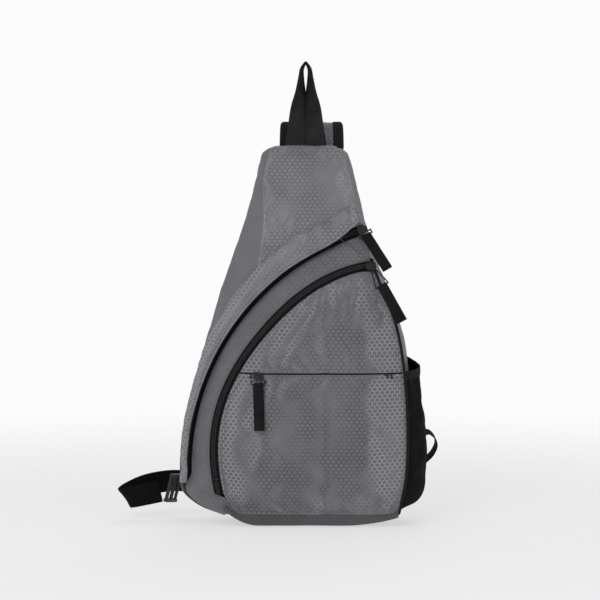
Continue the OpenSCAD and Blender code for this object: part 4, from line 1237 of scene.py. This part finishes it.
def strap_binding(s, side, label):
    """Binding tape folded round the strap's edge over all its layers, sewn down on both faces."""
    tape = 12.5
    turn = np.linspace(-np.pi / 2, np.pi / 2, 9)
    inner = np.linspace(0, 1, 7)[:-1]
    x = np.concatenate([-tape + inner * (tape - 4), -4 + 4 * np.cos(turn), -tape + inner[::-1] * (tape - 4)])
    h = np.concatenate([np.full(6, -1.0), np.sin(turn), np.full(6, 1.0)])
    swell = np.concatenate([inner**0.3, np.ones(9), inner[::-1] ** 0.3])
    p, a = strap_at(s), strap_across(s) * side
    out = strap_out(s)
    w = strap_half(s) - 0.1
    ripple = 0.18 * np.sin(np.arange(len(s)) * 1.7)
    height = h[None, :] * (4.75 + 0.45 * swell[None, :]) + ripple[:, None] * h[None, :]
    height *= strap_pressed(s, 0.5)[:, None]
    g = p[:, None] + a[:, None] * (w[:, None] + x[None, :])[..., None] + out[:, None] * height[..., None]
    middle = p + a * (w - 6)[:, None]
    g = facing(g, (70, 10), g[70, 10] - middle[70])
    nodes = ["strap_root_binding", "strap_pad_binding"]
    sheet_piece(f"strap_binding_{label}", g, 0.7, BINDING, "binding", nodes, uv="left", blend=STRAP_BLEND)
    lines = [line_on(g, edge, 2.2) for edge in ("left", "right")]
    stitches(f"strap_stitches_{label}", lines, THREAD_BLACK, "binding", blend=STRAP_BLEND)


def anchor_patch():
    """The patch that holds the strap's root, sewn down round its edge."""
    low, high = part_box("strap_anchor_patch")
    x = lerp(low.x / MM + 0.5, high.x / MM + 3.5, fine_ends(44))
    z = lerp(high.z / MM + 1, low.z / MM, fine_ends(26))
    over_strap = lerp(0.0, 7.4, ease((403 - z) / -12 + 0.9)) + 0.13 * np.maximum(z - 403, 0)
    g = xyz(x[None, :], high.y / MM - 0.4, z[:, None])
    d = edge_distances(g)
    g[..., 1] += over_strap[:, None] * ease(np.minimum(d["left"], d["right"]) / 7)
    g = dress(g, 71, {side: (1, 2) for side in SIDES}, crumple=0.15, size=20)
    sheet_piece("strap_patch", g, 1.4, WEB, "webbing", ["strap_anchor_patch"])
    lines = [line_on(g, side, 4) for side in SIDES]
    stitches("patch_stitches", lines, THREAD_BLACK, "webbing")


# ---------- put it together ----------
def build():
    """Makes every piece, and last the seams' stitching, which lies on the finished sheets."""
    upper = upper_panel()
    left = left_side()
    right = right_side()
    base = base_panel()
    flap = storm_flap([upper, left, right])
    band = crescent_panel()
    pocket_top, pocket_low = pocket_panels()
    back_pad()
    back_foam()
    inner_sheet("divider_cloth", "divider_panel", 83)
    inner_sheet("back_lining_cloth", "back_lining", 89, y_sag=0.1, ahead=2.0)
    inner_sheet("slip_pocket_cloth", "slip_pocket_liner", 97)
    all_zips()
    for label in ("main", "front", "pocket"):
        pull_tab(label)
    hard_parts()
    piping()
    side_pocket()
    grab_loop()
    side_loop()
    webbing_runs()
    shoulder_strap()
    anchor_patch()
    lines = [line_on(flap, "bottom", 3.6), line_on(flap, "top", 3.2), line_on(band, "bottom", 4.2),
             line_on(pocket_top, "bottom", 21), line_on(pocket_low, "right", 4.5), line_on(base, "top", 4),
             line_on(left, "top", 5), line_on(right, "bottom", 5), line_on(upper, "bottom", 7)]
    stitches("seam_stitches", lines, THREAD_GREY, "shell_fabric")


AMBIENT = 0.5      # how strongly the white studio lights the bag
WHITE = 0.97       # how bright the studio's white looks


def studio_sweep():
    """A pale floor that keeps a soft shadow near the bag and runs out into the white studio."""
    m = Material("floor_pale")
    far = m.fade(m.vec("LENGTH", m.place(), out=1), 350.0, 1500.0)
    speckle = m.noise(m.place(), 0.02, 2.0)
    paint = m.node("ShaderNodeBsdfDiffuse", Color=m.mix(speckle, grey(0.36, 0.0), grey(0.38, 0.0)))
    glow = m.node("ShaderNodeEmission", Color=grey(1.0, 0.0), Strength=0.56)
    near = m.node("ShaderNodeAddShader", i0=paint, i1=glow)
    white = m.node("ShaderNodeEmission", Color=grey(1.0, 0.0), Strength=WHITE)
    m.node("ShaderNodeOutputMaterial", None, Surface=m.node("ShaderNodeMixShader", i0=far, i1=near, i2=white))
    return m.mat


def stage_and_light():
    """The floor, a world that looks white but lights less, and three soft lamps aimed at the bag's middle."""
    side, ahead, behind, below = 9000, -9000, 30000, -0.6
    corners = [[-side, ahead, below], [side, ahead, below], [side, behind, below], [-side, behind, below]]
    floor = make_mesh("studio_floor", corners, [[0, 1, 2, 3]])
    floor.data.materials.append(studio_sweep())
    world = bpy.data.worlds.new("studio")
    world.use_nodes = True
    tree = world.node_tree
    seen = tree.nodes.new("ShaderNodeLightPath").outputs["Is Camera Ray"]
    level = tree.nodes.new("ShaderNodeMapRange")
    level.inputs["To Min"].default_value = AMBIENT
    level.inputs["To Max"].default_value = WHITE
    tree.links.new(seen, level.inputs["Value"])
    tree.links.new(level.outputs[0], tree.nodes["Background"].inputs[1])
    tree.nodes["Background"].inputs[0].default_value = (1, 1, 1, 1)
    SCENE.world = world
    lamps = (("key", (-0.9, -1.7, 1.5), 1.1, 13), ("fill", (1.4, -1.3, 0.9), 1.2, 5),
             ("rim", (0.3, 1.4, 1.5), 1.0, 6))
    for name, place, size, power in lamps:
        lamp = bpy.data.lights.new(name, "AREA")
        lamp.energy = power
        lamp.size = size
        obj = bpy.data.objects.new(name, lamp)
        obj.location = place
        obj.rotation_euler = (Vector((0, 0, 0.25)) - Vector(place)).to_track_quat("-Z", "Y").to_euler()
        SCENE.collection.objects.link(obj)
    SCENE.view_settings.view_transform = "Standard"


def camera():
    """A long lens level with the bag, from straight ahead."""
    aim = Vector((-5.6, -20, 254)) * MM
    distance, tilt = 1.867, math.radians(1.5)
    lens = bpy.data.cameras.new("camera")
    lens.lens = 100
    obj = bpy.data.objects.new("camera", lens)
    obj.location = aim + distance * Vector((0, -math.cos(tilt), math.sin(tilt)))
    obj.rotation_euler = (aim - obj.location).to_track_quat("-Z", "Y").to_euler()
    SCENE.collection.objects.link(obj)
    SCENE.camera = obj


build()
stage_and_light()
camera()
